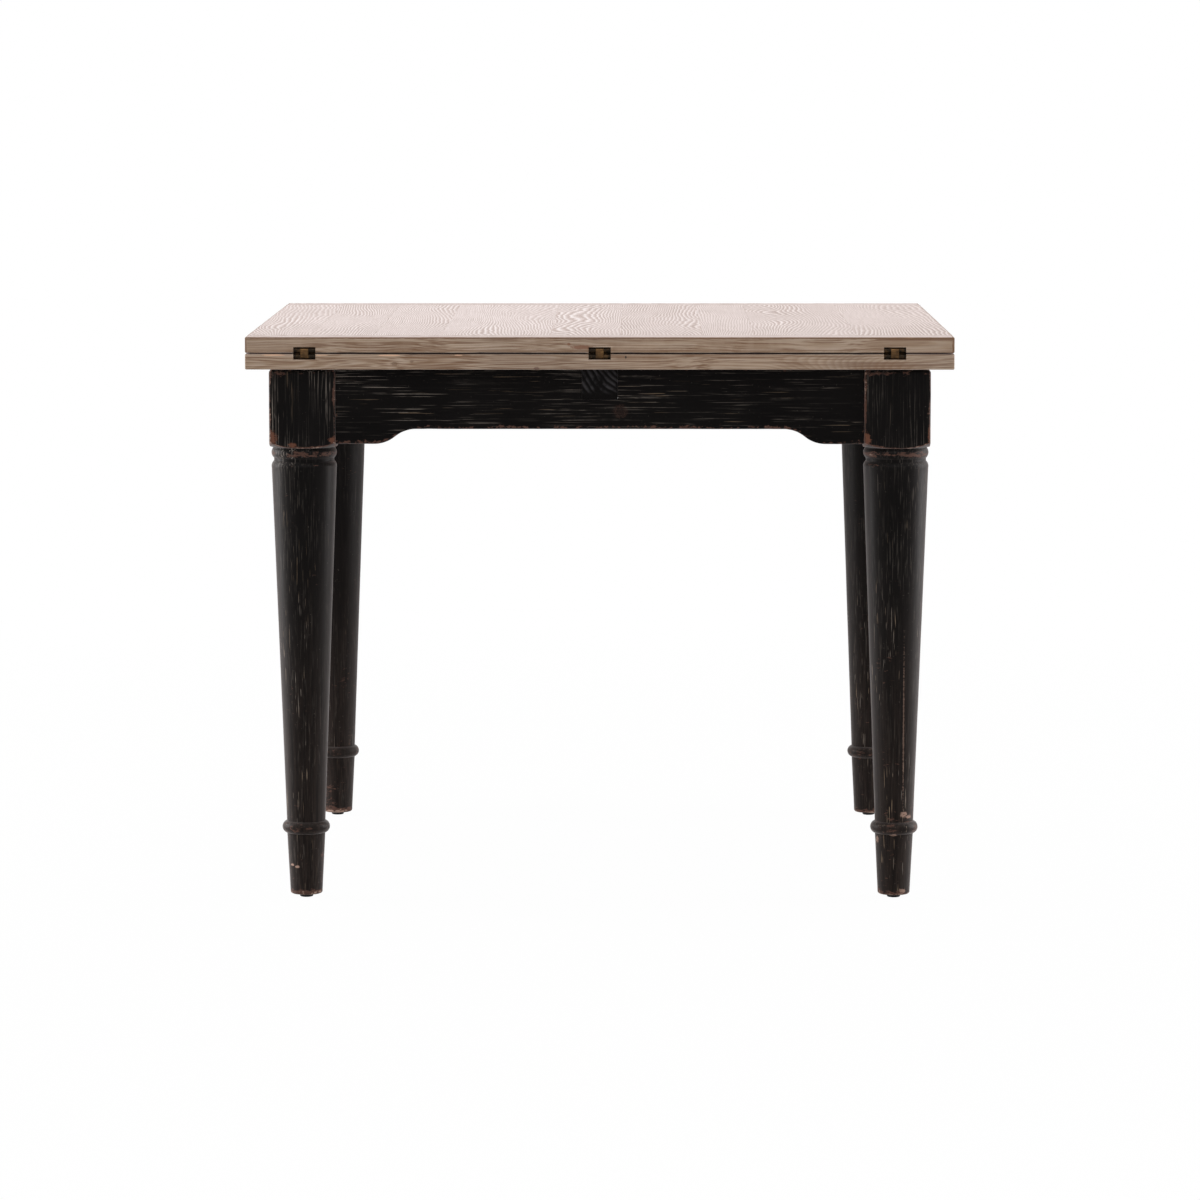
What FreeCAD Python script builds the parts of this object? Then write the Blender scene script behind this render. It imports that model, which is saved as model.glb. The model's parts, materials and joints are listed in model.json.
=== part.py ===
"""Square flip-top dining table: two hinged leaves on a sliding beam, over a frame on four turned legs.

Sizes are in millimetres. The origin is on the floor under the middle of the closed top, +X runs along
the hinge line, +Y from the hinged edge towards the back, and +Z up. The leaves are folded shut, one on
the other, and slid home over the frame.
"""
import FreeCAD, Part
import math
import os

Vector = FreeCAD.Vector
UP = Vector(0, 0, 1)

# Closed table
TABLE_HEIGHT = 800.0
TOP_WIDTH = 990.0
LEAF_DEPTH = 990.0
TOP_OVERHANG = 31.0

# Leaves: planks that run front to back between two clamping strips
LEAF_THICKNESS = 22.0
LEAF_GAP = 1.2
STRIP_WIDTH = 58.0
TONGUE_LENGTH = 10.0
TONGUE_THICKNESS = 7.0
TONGUE_END_ROOM = 0.5
TOP_ARRIS = 1.2
UPPER_PLANK_MIX = (89, 89, 94, 154, 99, 114, 74, 143, 134)
LOWER_PLANK_MIX = (118, 92, 136, 96, 112, 88, 140, 98, 110)

# Leg hinges: two plates, a loose link and two pins each
HINGE_END_INSET = 83.0
HINGE_WIDTH = 30.0
HINGE_PLATE_LENGTH = 46.0
HINGE_PLATE_THICKNESS = 4.6
HINGE_KNUCKLE_DIAMETER = 6.8
HINGE_KNUCKLE_INSET = 0.4
HINGE_PIN_DIAMETER = 3.0
HINGE_LINK_WIDTH = 11.0
HINGE_LINK_DIAMETER = 6.4
HINGE_LINK_EASE = 0.5
HINGE_SIDE_CLEARANCE = 0.25
HINGE_PIN_CLEARANCE = 0.05
HINGE_RECESS_ROOM = 0.5
HINGE_RECESS_DROP = 0.9
HINGE_ROLL_FLAT = 0.8
HINGE_SCREW_PLACES = (17.0, 37.0)
HINGE_SCREW_LENGTH = 15.0
HINGE_SCREW_HEAD = 7.0
HINGE_SCREW_SHANK = 3.5

# Frame
LEG_BLOCK = 93.0
APRON_THICKNESS = 22.0
APRON_SETBACK = 6.0
APRON_DEPTH = 106.0
APRON_ARCH_RISE = 21.0
APRON_ARCH_START = 54.0
APRON_OGEE_RUN = 59.0
APRON_ARRIS = 1.5
SLIDE_STRIP_THICKNESS = 0.8
SLIDE_STRIP_WIDTH = 14.0

# Turned legs, with heights taken down from the frame's top or up from the floor
BLOCK_ARRIS = 3.4
BLOCK_HEIGHT = 102.5
POMMEL_DROP = 9.6
NECK_DIAMETER = 87.6
NECK_HEIGHT = 1.6
COLLAR_DIAMETER = 91.8
COLLAR_HEIGHT = 14.1
COLLAR_ROOT_DIAMETER = 84.8
GROOVE_HEIGHT = 3.8
SHAFT_SHOULDER_HEIGHT = 10.0
SHAFT_TOP_DIAMETER = 91.4
SHAFT_END_DIAMETER = 54.4
ANKLE_RING_HEIGHT = 101.0
ANKLE_RING_TALL = 17.6
ANKLE_RING_DIAMETER = 67.2
FOOT_TOP_DIAMETER = 53.8
FOOT_END_DIAMETER = 45.4
FOOT_ROUND = 3.5
GLIDE_THICKNESS = 5.0
GLIDE_DIAMETER = 19.0
GLIDE_ROUND = 1.2
GLIDE_NAIL_DIAMETER = 2.6
GLIDE_NAIL_LENGTH = 16.0

# Corner braces and the leg bolts that draw each leg against its brace
BRACE_SEAT_CHAMFER = 12.0
BRACE_THICKNESS = 25.0
BRACE_HEIGHT = 60.0
BRACE_TOP_DROP = 12.0
BRACE_SCREW_INSET = 8.0
BRACE_SCREW_SPACING = 32.0
BRACE_SCREW_SEAT = 16.0
BRACE_SCREW_BITE = 15.0
BRACE_SCREW_SHANK = 4.5
BRACE_SCREW_HEAD = 8.6
BRACE_SCREW_HEAD_TALL = 3.2
LEG_BOLT_DIAMETER = 8.0
LEG_BOLT_HOLE_ROOM = 1.0
LEG_BOLT_BITE = 42.0
LEG_BOLT_SPACING = 26.0
LEG_BOLT_SPARE = 6.0
LEG_WASHER_DIAMETER = 20.0
LEG_WASHER_THICKNESS = 2.0
LEG_NUT_FLATS = 13.0
LEG_NUT_TALL = 6.5

# Slide: a beam under the lower leaf, held down by the tongues of two guide rails
BEAM_WIDTH = 50.0
BEAM_DEPTH = 44.0
BEAM_GROOVE_DEPTH = 8.0
BEAM_GROOVE_TALL = 10.0
BEAM_GROOVE_DROP = 16.0
BEAM_GROOVE_END = 23.0
BEAM_CLEARANCE = 0.5
BEAM_SCREW_COUNT = 6
BEAM_SCREW_END_INSET = 70.0
BEAM_SCREW_SEAT = 20.0
BEAM_SCREW_BITE = 15.0
BEAM_SCREW_SHANK = 5.0
BEAM_SCREW_HEAD = 9.6
BEAM_SCREW_HEAD_TALL = 3.4
RAIL_WIDTH = 30.0
RAIL_DEPTH = 42.0
RAIL_TOP_DROP = 2.0
RAIL_TONGUE_ROOM = 0.8
RAIL_TONGUE_CLEARANCE = 0.3
RAIL_STOP_CLEARANCE = 0.3

# Steel angles that carry the guide rails on the aprons
ANGLE_WIDTH = 20.0
ANGLE_LEG = 30.0
ANGLE_THICKNESS = 2.0
ANGLE_SCREW_PLACES = (11.0, 23.0)
ANGLE_SCREW_BITE = 14.0
ANGLE_SCREW_SHANK = 3.5
ANGLE_SCREW_HEAD = 6.8
ANGLE_SCREW_HEAD_TALL = 2.2

# A screw's slot, as shares of its head
SLOT_WIDTH_SHARE = 0.14
SLOT_DEPTH_SHARE = 0.12

# Levels, from the top down
UPPER_MEETING = TABLE_HEIGHT - LEAF_THICKNESS
LOWER_MEETING = UPPER_MEETING - LEAF_GAP
LOWER_UNDERSIDE = LOWER_MEETING - LEAF_THICKNESS
FRAME_TOP = LOWER_UNDERSIDE - SLIDE_STRIP_THICKNESS
BEAM_BOTTOM = LOWER_UNDERSIDE - BEAM_DEPTH

# Plan places, from the middle of the table
HINGED_EDGE = -LEAF_DEPTH / 2
FRAME_HALF_X = TOP_WIDTH / 2 - TOP_OVERHANG
FRAME_HALF_Y = LEAF_DEPTH / 2 - TOP_OVERHANG
APRON_INSIDE = APRON_SETBACK + APRON_THICKNESS
SLIDE_TRAVEL = LEAF_DEPTH / 2

# The pins lie as far from the leaf's face as from its edge, so an opened leaf meets the other flush
PIN_INSET = HINGE_KNUCKLE_DIAMETER / 2 + HINGE_KNUCKLE_INSET
MEETING_ROUND = PIN_INSET - HINGE_ROLL_FLAT
HINGE_PLACES = (-TOP_WIDTH / 2 + HINGE_END_INSET, 0.0, TOP_WIDTH / 2 - HINGE_END_INSET)
HINGE_NAMES = ("left", "middle", "right")

CORNERS = {
    "front_left": (-1, -1),
    "front_right": (1, -1),
    "rear_left": (-1, 1),
    "rear_right": (1, 1),
}


def slab(x0, x1, y0, y1, z0, z1):
    """A box between two corners, given in either order."""
    low = Vector(min(x0, x1), min(y0, y1), min(z0, z1))
    return Part.makeBox(abs(x1 - x0), abs(y1 - y0), abs(z1 - z0), low)


def rod(start, end, diameter):
    """A round bar between two points."""
    along = end - start
    return Part.makeCylinder(diameter / 2, along.Length, start, along)


def arc(start, through, end):
    """A circular edge through three points."""
    return Part.Arc(start, through, end).toShape()


def line(start, end):
    """A straight edge."""
    return Part.LineSegment(start, end).toShape()


def prism(points, z0, z1):
    """A straight-sided prism over a closed outline of plan points."""
    corners = [Vector(x, y, z0) for x, y in points]
    face = Part.Face(Part.makePolygon(corners + corners[:1]))
    return face.extrude(UP * (z1 - z0))


def without(piece, tools):
    """The piece with those tools cut away that reach into it."""
    near = [t for t in tools if t.BoundBox.intersect(piece.BoundBox)]
    return piece.cut(near) if near else piece


def rounded(piece, radius, chosen):
    """The piece with the edges that the test picks rounded over."""
    return piece.makeFillet(radius, [e for e in piece.Edges if chosen(e.BoundBox)])


def screw(tip, seat, shank, head, head_tall, sunk):
    """A slotted wood screw from its tip to its seat, its head sunk level with the seat or standing on it."""
    along = (seat - tip).normalize()
    if sunk:
        crown = seat
        root = seat - along * head_tall
        cap = Part.makeCone(shank / 2, head / 2, head_tall, root, along)
    else:
        crown = seat + along * head_tall
        root = seat
        cap = Part.makeCylinder(head / 2, head_tall, seat, along)
    body = rod(tip, root, shank).fuse(cap).removeSplitter()
    slot_width = head * SLOT_WIDTH_SHARE
    slot_depth = head * SLOT_DEPTH_SHARE
    slot = Part.makeBox(2 * head, slot_width, 2 * slot_depth, Vector(-head, -slot_width / 2, -slot_depth))
    slot.Placement = FreeCAD.Placement(crown, FreeCAD.Rotation(UP, along)).multiply(slot.Placement)
    return body.cut(slot)


# Turned legs


def leg_profile():
    """The outline that a leg is turned to, from the axis at the foot up to the axis at the frame's top."""
    shoulder = FRAME_TOP - BLOCK_HEIGHT
    neck_top = shoulder - POMMEL_DROP
    collar_top = neck_top - NECK_HEIGHT
    collar_middle = collar_top - COLLAR_HEIGHT / 2
    collar_low = collar_top - COLLAR_HEIGHT
    groove_low = collar_low - GROOVE_HEIGHT
    shaft_top = groove_low - SHAFT_SHOULDER_HEIGHT
    ring_top = ANKLE_RING_HEIGHT + ANKLE_RING_TALL / 2
    ring_low = ANKLE_RING_HEIGHT - ANKLE_RING_TALL / 2
    foot = GLIDE_THICKNESS
    corner = LEG_BLOCK / 2 * math.sqrt(2)
    neck = NECK_DIAMETER / 2
    root = COLLAR_ROOT_DIAMETER / 2
    shaft = SHAFT_TOP_DIAMETER / 2
    ankle = SHAFT_END_DIAMETER / 2
    heel = FOOT_END_DIAMETER / 2
    turn = 1 - math.sqrt(0.5)

    def at(radius, height):
        return Vector(radius, 0, height)

    swell = POMMEL_DROP * turn / 2
    pommel_mid = at((corner + neck) / 2 + swell, (shoulder + neck_top) / 2 - swell)
    shoulder_mid = at(shaft - (shaft - root) * turn, shaft_top + SHAFT_SHOULDER_HEIGHT * math.sqrt(0.5))
    heel_mid = at(heel - FOOT_ROUND * turn, foot + FOOT_ROUND * turn)
    edges = [
        line(at(0, foot), at(heel - FOOT_ROUND, foot)),
        arc(at(heel - FOOT_ROUND, foot), heel_mid, at(heel, foot + FOOT_ROUND)),
        line(at(heel, foot + FOOT_ROUND), at(FOOT_TOP_DIAMETER / 2, ring_low)),
        arc(
            at(FOOT_TOP_DIAMETER / 2, ring_low),
            at(ANKLE_RING_DIAMETER / 2, ANKLE_RING_HEIGHT),
            at(ankle, ring_top),
        ),
        line(at(ankle, ring_top), at(shaft, shaft_top)),
        arc(at(shaft, shaft_top), shoulder_mid, at(root, groove_low)),
        line(at(root, groove_low), at(root, collar_low)),
        arc(at(root, collar_low), at(COLLAR_DIAMETER / 2, collar_middle), at(neck, collar_top)),
        line(at(neck, collar_top), at(neck, neck_top)),
        arc(at(neck, neck_top), pommel_mid, at(corner, shoulder)),
        line(at(corner, shoulder), at(LEG_BLOCK, shoulder)),
        line(at(LEG_BLOCK, shoulder), at(LEG_BLOCK, FRAME_TOP)),
        line(at(LEG_BLOCK, FRAME_TOP), at(0, FRAME_TOP)),
        line(at(0, FRAME_TOP), at(0, foot)),
    ]
    return Part.Face(Part.Wire(edges))


def in_corner(corner, u, v, z):
    """A point by its distance in from the outer faces of a corner's leg block."""
    sx, sy = corner
    return Vector(sx * (FRAME_HALF_X - u), sy * (FRAME_HALF_Y - v), z)


def corner_prism(corner, outline, z0, z1):
    """A prism over an outline given as distances in from a leg block's outer faces."""
    points = [in_corner(corner, u, v, 0) for u, v in outline]
    return prism([(p.x, p.y) for p in points], z0, z1)


def make_leg(corner, fasteners):
    """A leg turned from a square blank, with its inner corner flattened to seat the brace."""
    axis = in_corner(corner, LEG_BLOCK / 2, LEG_BLOCK / 2, 0)
    half = LEG_BLOCK / 2
    blank = slab(-half, half, -half, half, 0, FRAME_TOP)
    blank = rounded(blank, BLOCK_ARRIS, lambda b: b.ZLength > 0.9 * FRAME_TOP)
    turned = leg_profile().revolve(Vector(), UP, 360)
    leg = blank.common(turned)
    leg.translate(axis)
    beyond = LEG_BLOCK + BRACE_SEAT_CHAMFER
    flat = LEG_BLOCK - BRACE_SEAT_CHAMFER
    seat = corner_prism(corner, [(LEG_BLOCK, flat), (flat, LEG_BLOCK), (beyond, beyond)], 0, FRAME_TOP)
    return without(leg.cut(seat), fasteners)


def make_glide(corner):
    """A nail-on floor glide under a foot."""
    foot = in_corner(corner, LEG_BLOCK / 2, LEG_BLOCK / 2, 0)
    disc = Part.makeCylinder(GLIDE_DIAMETER / 2, GLIDE_THICKNESS, foot)
    disc = rounded(disc, GLIDE_ROUND, lambda b: b.ZMax < GLIDE_THICKNESS / 2)
    head = foot + UP * GLIDE_THICKNESS
    return disc.fuse(rod(head, head + UP * GLIDE_NAIL_LENGTH, GLIDE_NAIL_DIAMETER)).removeSplitter()


# Aprons


def ogee(foot, head):
    """Two equal arcs that leave and arrive level, from the foot of an arch to its head, in the XZ plane."""
    middle = (foot + head) * 0.5
    half_run = middle.x - foot.x
    half_rise = middle.z - foot.z
    radius = (half_run**2 + half_rise**2) / (2 * half_rise)
    turn = math.atan2(half_rise, abs(half_run))
    step = Vector(math.copysign(radius * math.sin(turn), half_run), 0, radius * (1 - math.cos(turn)))
    return [arc(foot, foot + step, middle), arc(middle, head - step, head)]


def make_apron(length, notched):
    """An apron along X with an arched lower edge, its outer face at y 0 and its top at the frame's top."""
    end = length / 2
    low = FRAME_TOP - APRON_DEPTH
    high = low + APRON_ARCH_RISE
    start = end - APRON_ARCH_START
    crown = start - APRON_OGEE_RUN

    def at(x, z):
        return Vector(x, 0, z)

    edges = [line(at(-end, FRAME_TOP), at(end, FRAME_TOP)), line(at(end, FRAME_TOP), at(end, low))]
    edges += [line(at(end, low), at(start, low))]
    edges += ogee(at(start, low), at(crown, high))
    edges += [line(at(crown, high), at(-crown, high))]
    edges += ogee(at(-start, low), at(-crown, high))
    edges += [line(at(-start, low), at(-end, low)), line(at(-end, low), at(-end, FRAME_TOP))]
    face = Part.Face(Part.Wire(Part.__sortEdges__(edges)))
    apron = face.extrude(Vector(0, APRON_THICKNESS, 0))

    def on_lower_edge(box):
        return box.ZMax < high + APRON_ARRIS and box.YLength < APRON_ARRIS and box.XLength > APRON_ARRIS

    apron = rounded(apron, APRON_ARRIS, on_lower_edge)
    if notched:
        half = BEAM_WIDTH / 2 + BEAM_CLEARANCE
        apron = apron.cut(slab(-half, half, 0, APRON_THICKNESS, BEAM_BOTTOM - BEAM_CLEARANCE, FRAME_TOP))
    return apron


def make_aprons():
    """The four aprons, set in from the legs' outer faces, the front and rear ones notched for the beam."""
    along_x = 2 * (FRAME_HALF_X - LEG_BLOCK)
    along_y = 2 * (FRAME_HALF_Y - LEG_BLOCK)
    out_x = FRAME_HALF_X - APRON_SETBACK
    out_y = FRAME_HALF_Y - APRON_SETBACK
    places = {
        "front_apron": (along_x, True, Vector(0, -out_y, 0), 0),
        "rear_apron": (along_x, True, Vector(0, out_y, 0), 180),
        "left_apron": (along_y, False, Vector(-out_x, 0, 0), -90),
        "right_apron": (along_y, False, Vector(out_x, 0, 0), 90),
    }
    aprons = {}
    for name, (length, notched, place, angle) in places.items():
        apron = make_apron(length, notched)
        apron.rotate(Vector(), UP, angle)
        apron.translate(place)
        aprons[name] = apron
    return aprons


def make_slide_strips():
    """Nylon strips on the aprons' tops, broken at the beam's notches, for the leaves to slide and lie on."""
    end_x = FRAME_HALF_X - LEG_BLOCK
    end_y = FRAME_HALF_Y - LEG_BLOCK
    notch = BEAM_WIDTH / 2 + BEAM_CLEARANCE
    inset = APRON_SETBACK + (APRON_THICKNESS - SLIDE_STRIP_WIDTH) / 2
    strips = []
    for side in (-1, 1):
        x0 = side * (FRAME_HALF_X - inset)
        x1 = x0 - side * SLIDE_STRIP_WIDTH
        strips.append(slab(x0, x1, -end_y, end_y, FRAME_TOP, LOWER_UNDERSIDE))
        y0 = side * (FRAME_HALF_Y - inset)
        y1 = y0 - side * SLIDE_STRIP_WIDTH
        for half in (-1, 1):
            strips.append(slab(half * notch, half * end_x, y0, y1, FRAME_TOP, LOWER_UNDERSIDE))
    return strips


# Corner braces and leg bolts


def brace_lines():
    """Distances from the outer corner, summed along both aprons, to a brace's front and back faces."""
    front = 2 * LEG_BLOCK - BRACE_SEAT_CHAMFER
    return front, front + BRACE_THICKNESS * math.sqrt(2)


def brace_middle():
    """Height of the middle of the braces."""
    return FRAME_TOP - BRACE_TOP_DROP - BRACE_HEIGHT / 2


def make_brace(corner):
    """A brace across a corner, its ends cut to lie against both aprons."""
    front, back = brace_lines()
    near = front - APRON_INSIDE
    far = back - APRON_INSIDE
    outline = [(near, APRON_INSIDE), (far, APRON_INSIDE), (APRON_INSIDE, far), (APRON_INSIDE, near)]
    middle = brace_middle()
    return corner_prism(corner, outline, middle - BRACE_HEIGHT / 2, middle + BRACE_HEIGHT / 2)


def brace_screws(corner):
    """Screws through a brace's ends into the aprons, and the pockets that let their heads in."""
    front, back = brace_lines()
    along = front - APRON_INSIDE + BRACE_SCREW_INSET
    tip = APRON_INSIDE - BRACE_SCREW_BITE
    seat = APRON_INSIDE + BRACE_SCREW_SEAT
    screws = []
    pockets = []
    for level in (-1, 1):
        z = brace_middle() + level * BRACE_SCREW_SPACING / 2
        for swap in (False, True):
            ends = [(along, depth) for depth in (tip, seat, back)]
            points = [in_corner(corner, *(reversed(e) if swap else e), z) for e in ends]
            screws.append(
                screw(points[0], points[1], BRACE_SCREW_SHANK, BRACE_SCREW_HEAD, BRACE_SCREW_HEAD_TALL, False)
            )
            pockets.append(rod(points[1], points[2], BRACE_SCREW_HEAD))
    return screws, pockets


def leg_bolts(corner):
    """Hanger bolts from a leg's flattened corner through its brace, with their washers, nuts and holes."""
    front, back = brace_lines()
    inward = (in_corner(corner, 1, 1, 0) - in_corner(corner, 0, 0, 0)).normalize()
    bolts, washers, nuts, holes = [], [], [], []
    for level in (-1, 1):
        z = brace_middle() + level * LEG_BOLT_SPACING / 2
        seat = in_corner(corner, front / 2, front / 2, z)
        face = in_corner(corner, back / 2, back / 2, z)
        nut_base = face + inward * LEG_WASHER_THICKNESS
        nut_top = nut_base + inward * LEG_NUT_TALL
        bolt = rod(seat - inward * LEG_BOLT_BITE, nut_top + inward * LEG_BOLT_SPARE, LEG_BOLT_DIAMETER)
        hexagon = [Vector(LEG_NUT_FLATS / math.sqrt(3), 0, 0)]
        for side in range(1, 6):
            hexagon.append(FreeCAD.Rotation(UP, 60 * side).multVec(hexagon[0]))
        nut = Part.Face(Part.makePolygon(hexagon + hexagon[:1])).extrude(UP * LEG_NUT_TALL)
        nut.Placement = FreeCAD.Placement(nut_base, FreeCAD.Rotation(UP, inward))
        bolts.append(bolt)
        washers.append(rod(face, nut_base, LEG_WASHER_DIAMETER).cut(bolt))
        nuts.append(nut.cut(bolt))
        holes.append(rod(seat, face, LEG_BOLT_DIAMETER + LEG_BOLT_HOLE_ROOM))
    return bolts, washers, nuts, holes


# Slide


def groove_end():
    """How far the beam's grooves run each way from the middle of the closed table."""
    return FRAME_HALF_Y - APRON_SETBACK - BEAM_GROOVE_END


def make_beam(cuts):
    """The beam under the lower leaf, as long as the frame is deep, with a stopped groove along each side."""
    half = BEAM_WIDTH / 2
    end = FRAME_HALF_Y - APRON_SETBACK
    beam = slab(-half, half, -end, end, BEAM_BOTTOM, LOWER_UNDERSIDE)
    top = LOWER_UNDERSIDE - BEAM_GROOVE_DROP
    stop = groove_end()
    grooves = [
        slab(side * half, side * (half - BEAM_GROOVE_DEPTH), -stop, stop, top, top - BEAM_GROOVE_TALL)
        for side in (-1, 1)
    ]
    return without(beam.cut(grooves), cuts)


def beam_screws():
    """Screws up through the beam into the lower leaf, and the deep holes that their heads stand in."""
    reach = FRAME_HALF_Y - APRON_SETBACK - BEAM_SCREW_END_INSET
    seat = LOWER_UNDERSIDE - BEAM_SCREW_SEAT
    screws = []
    pockets = []
    for number in range(BEAM_SCREW_COUNT):
        y = -reach + 2 * reach * number / (BEAM_SCREW_COUNT - 1)
        tip = Vector(0, y, LOWER_UNDERSIDE + BEAM_SCREW_BITE)
        head = Vector(0, y, seat)
        screws.append(screw(tip, head, BEAM_SCREW_SHANK, BEAM_SCREW_HEAD, BEAM_SCREW_HEAD_TALL, False))
        pockets.append(rod(Vector(0, y, BEAM_BOTTOM), head, BEAM_SCREW_HEAD))
    return screws, pockets


def make_rail(side, fasteners):
    """A guide rail beside the beam, between the aprons.

    Its tongue lies in the beam's groove. It meets one end of the groove when the top is home, and the
    other end when the top is out.
    """
    end = FRAME_HALF_Y - APRON_INSIDE
    inner = BEAM_WIDTH / 2 + BEAM_CLEARANCE
    top = FRAME_TOP - RAIL_TOP_DROP
    rail = slab(side * inner, side * (inner + RAIL_WIDTH), -end, end, top - RAIL_DEPTH, top)
    groove_top = LOWER_UNDERSIDE - BEAM_GROOVE_DROP
    tongue = slab(
        side * (BEAM_WIDTH / 2 - BEAM_GROOVE_DEPTH + RAIL_TONGUE_ROOM),
        side * inner,
        SLIDE_TRAVEL - groove_end() + RAIL_STOP_CLEARANCE,
        groove_end() - RAIL_STOP_CLEARANCE,
        groove_top - RAIL_TONGUE_CLEARANCE,
        groove_top - BEAM_GROOVE_TALL + RAIL_TONGUE_CLEARANCE,
    )
    return without(rail.fuse(tongue).removeSplitter(), fasteners)


def make_angle(side, end):
    """A steel angle under a guide rail's end, against the apron, with its screws."""
    middle = side * (BEAM_WIDTH / 2 + BEAM_CLEARANCE + RAIL_WIDTH / 2)
    wall = end * (FRAME_HALF_Y - APRON_INSIDE)
    seat = FRAME_TOP - RAIL_TOP_DROP - RAIL_DEPTH
    x0 = middle - ANGLE_WIDTH / 2
    x1 = middle + ANGLE_WIDTH / 2
    shelf = slab(x0, x1, wall, wall - end * ANGLE_LEG, seat, seat - ANGLE_THICKNESS)
    back = slab(x0, x1, wall, wall - end * ANGLE_THICKNESS, seat, seat - ANGLE_LEG)
    angle = shelf.fuse(back).removeSplitter()
    screws = []
    for place in ANGLE_SCREW_PLACES:
        up_tip = Vector(middle, wall - end * place, seat + ANGLE_SCREW_BITE)
        up_seat = Vector(middle, wall - end * place, seat - ANGLE_THICKNESS)
        out_tip = Vector(middle, wall + end * ANGLE_SCREW_BITE, seat - place)
        out_seat = Vector(middle, wall - end * ANGLE_THICKNESS, seat - place)
        for tip, head in ((up_tip, up_seat), (out_tip, out_seat)):
            screws.append(screw(tip, head, ANGLE_SCREW_SHANK, ANGLE_SCREW_HEAD, ANGLE_SCREW_HEAD_TALL, False))
    return angle.cut(screws), screws


# Hinges. Depths run from a leaf's meeting face into the leaf, which is up (1) or down (-1).


def hinge_pin_at(x, face, into):
    """Middle of a hinge's pin in one leaf."""
    return Vector(x, HINGED_EDGE + PIN_INSET, face + into * PIN_INSET)


def make_hinge_plate(x, face, into, drilled):
    """A plate let into a leaf's meeting face, forked round the link at the leaf's edge."""
    half = HINGE_WIDTH / 2
    pin = hinge_pin_at(x, face, into)
    fork = HINGE_LINK_WIDTH / 2 + HINGE_SIDE_CLEARANCE
    throat = pin.y + HINGE_LINK_DIAMETER / 2 + HINGE_LINK_EASE
    tail = HINGED_EDGE + HINGE_PLATE_LENGTH
    plate = slab(x - half, x + half, pin.y, tail, face, face + into * HINGE_PLATE_THICKNESS)
    knuckle = rod(pin - Vector(half, 0, 0), pin + Vector(half, 0, 0), HINGE_KNUCKLE_DIAMETER)
    slot = slab(x - fork, x + fork, HINGED_EDGE, throat, face, face + into * 2 * HINGE_KNUCKLE_DIAMETER)
    return plate.fuse(knuckle).removeSplitter().cut([slot] + drilled)


def hinge_recess(x, face, into):
    """The two-level recess in a leaf's strip that a hinge plate and its knuckles lie in."""
    half = HINGE_WIDTH / 2 + HINGE_RECESS_ROOM
    knuckle_end = PIN_INSET + HINGE_KNUCKLE_DIAMETER / 2
    tail = HINGED_EDGE + HINGE_PLATE_LENGTH + HINGE_RECESS_ROOM
    shelf = slab(x - half, x + half, HINGED_EDGE, tail, face, face + into * HINGE_PLATE_THICKNESS)
    well_back = HINGED_EDGE + knuckle_end + HINGE_RECESS_DROP
    well_floor = face + into * (knuckle_end + HINGE_RECESS_DROP)
    well = slab(x - half, x + half, HINGED_EDGE, well_back, face, well_floor)
    return shelf.fuse(well).removeSplitter()


def make_hinge_pin(x, face, into):
    """A pin across a plate's two knuckles."""
    middle = hinge_pin_at(x, face, into)
    reach = Vector(HINGE_WIDTH / 2, 0, 0)
    return rod(middle - reach, middle + reach, HINGE_PIN_DIAMETER)


def make_hinge_link(x):
    """The loose link that joins the pins of a hinge's two plates."""
    pins = [hinge_pin_at(x, LOWER_MEETING, -1), hinge_pin_at(x, UPPER_MEETING, 1)]
    reach = Vector(HINGE_LINK_WIDTH / 2, 0, 0)
    radius = HINGE_LINK_DIAMETER / 2
    web = slab(
        x - reach.x, x + reach.x, pins[0].y - radius, pins[0].y + radius, pins[0].z, pins[1].z
    )
    eyes = [rod(p - reach, p + reach, HINGE_LINK_DIAMETER) for p in pins]
    bore = HINGE_PIN_DIAMETER + 2 * HINGE_PIN_CLEARANCE
    holes = [rod(p - reach, p + reach, bore) for p in pins]
    return web.fuse(eyes).removeSplitter().cut(holes)


def hinge_screws(face, into):
    """The countersunk screws of one leaf's three hinge plates."""
    screws = []
    head_tall = (HINGE_SCREW_HEAD - HINGE_SCREW_SHANK) / 2
    for x in HINGE_PLACES:
        for place in HINGE_SCREW_PLACES:
            seat = Vector(x, HINGED_EDGE + place, face)
            tip = seat + UP * (into * HINGE_SCREW_LENGTH)
            screws.append(screw(tip, seat, HINGE_SCREW_SHANK, HINGE_SCREW_HEAD, head_tall, True))
    return screws


# Leaves


def make_plank(left, right, face, into):
    """A plank from one side to the other of its place in a leaf, with a tongue at both ends.

    A plank at the leaf's own side is eased along that side, and its tongues stop short of it.
    """
    half = TOP_WIDTH / 2
    end = LEAF_DEPTH / 2 - STRIP_WIDTH
    middle = face + into * LEAF_THICKNESS / 2

    def on_outer_edge(box):
        return box.YLength > end and abs(box.Center.x) > half - TOP_ARRIS

    plank = slab(left, right, -end, end, face, face + into * LEAF_THICKNESS)
    if max(right, -left) > half - TOP_ARRIS:
        plank = rounded(plank, TOP_ARRIS, on_outer_edge)
    tongues = slab(
        max(left, TONGUE_LENGTH - half),
        min(right, half - TONGUE_LENGTH),
        -end - TONGUE_LENGTH,
        end + TONGUE_LENGTH,
        middle - TONGUE_THICKNESS / 2,
        middle + TONGUE_THICKNESS / 2,
    )
    return plank.fuse(tongues).removeSplitter()


def make_planks(leaf, mix, face, into, fasteners):
    """A leaf's planks, ripped to share its width, as named nodes."""
    planks = {}
    left = -TOP_WIDTH / 2
    for number, share in enumerate(mix, 1):
        right = left + TOP_WIDTH * share / sum(mix)
        planks[f"{leaf}_plank_{number}"] = without(make_plank(left, right, face, into), fasteners)
        left = right
    return planks


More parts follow.
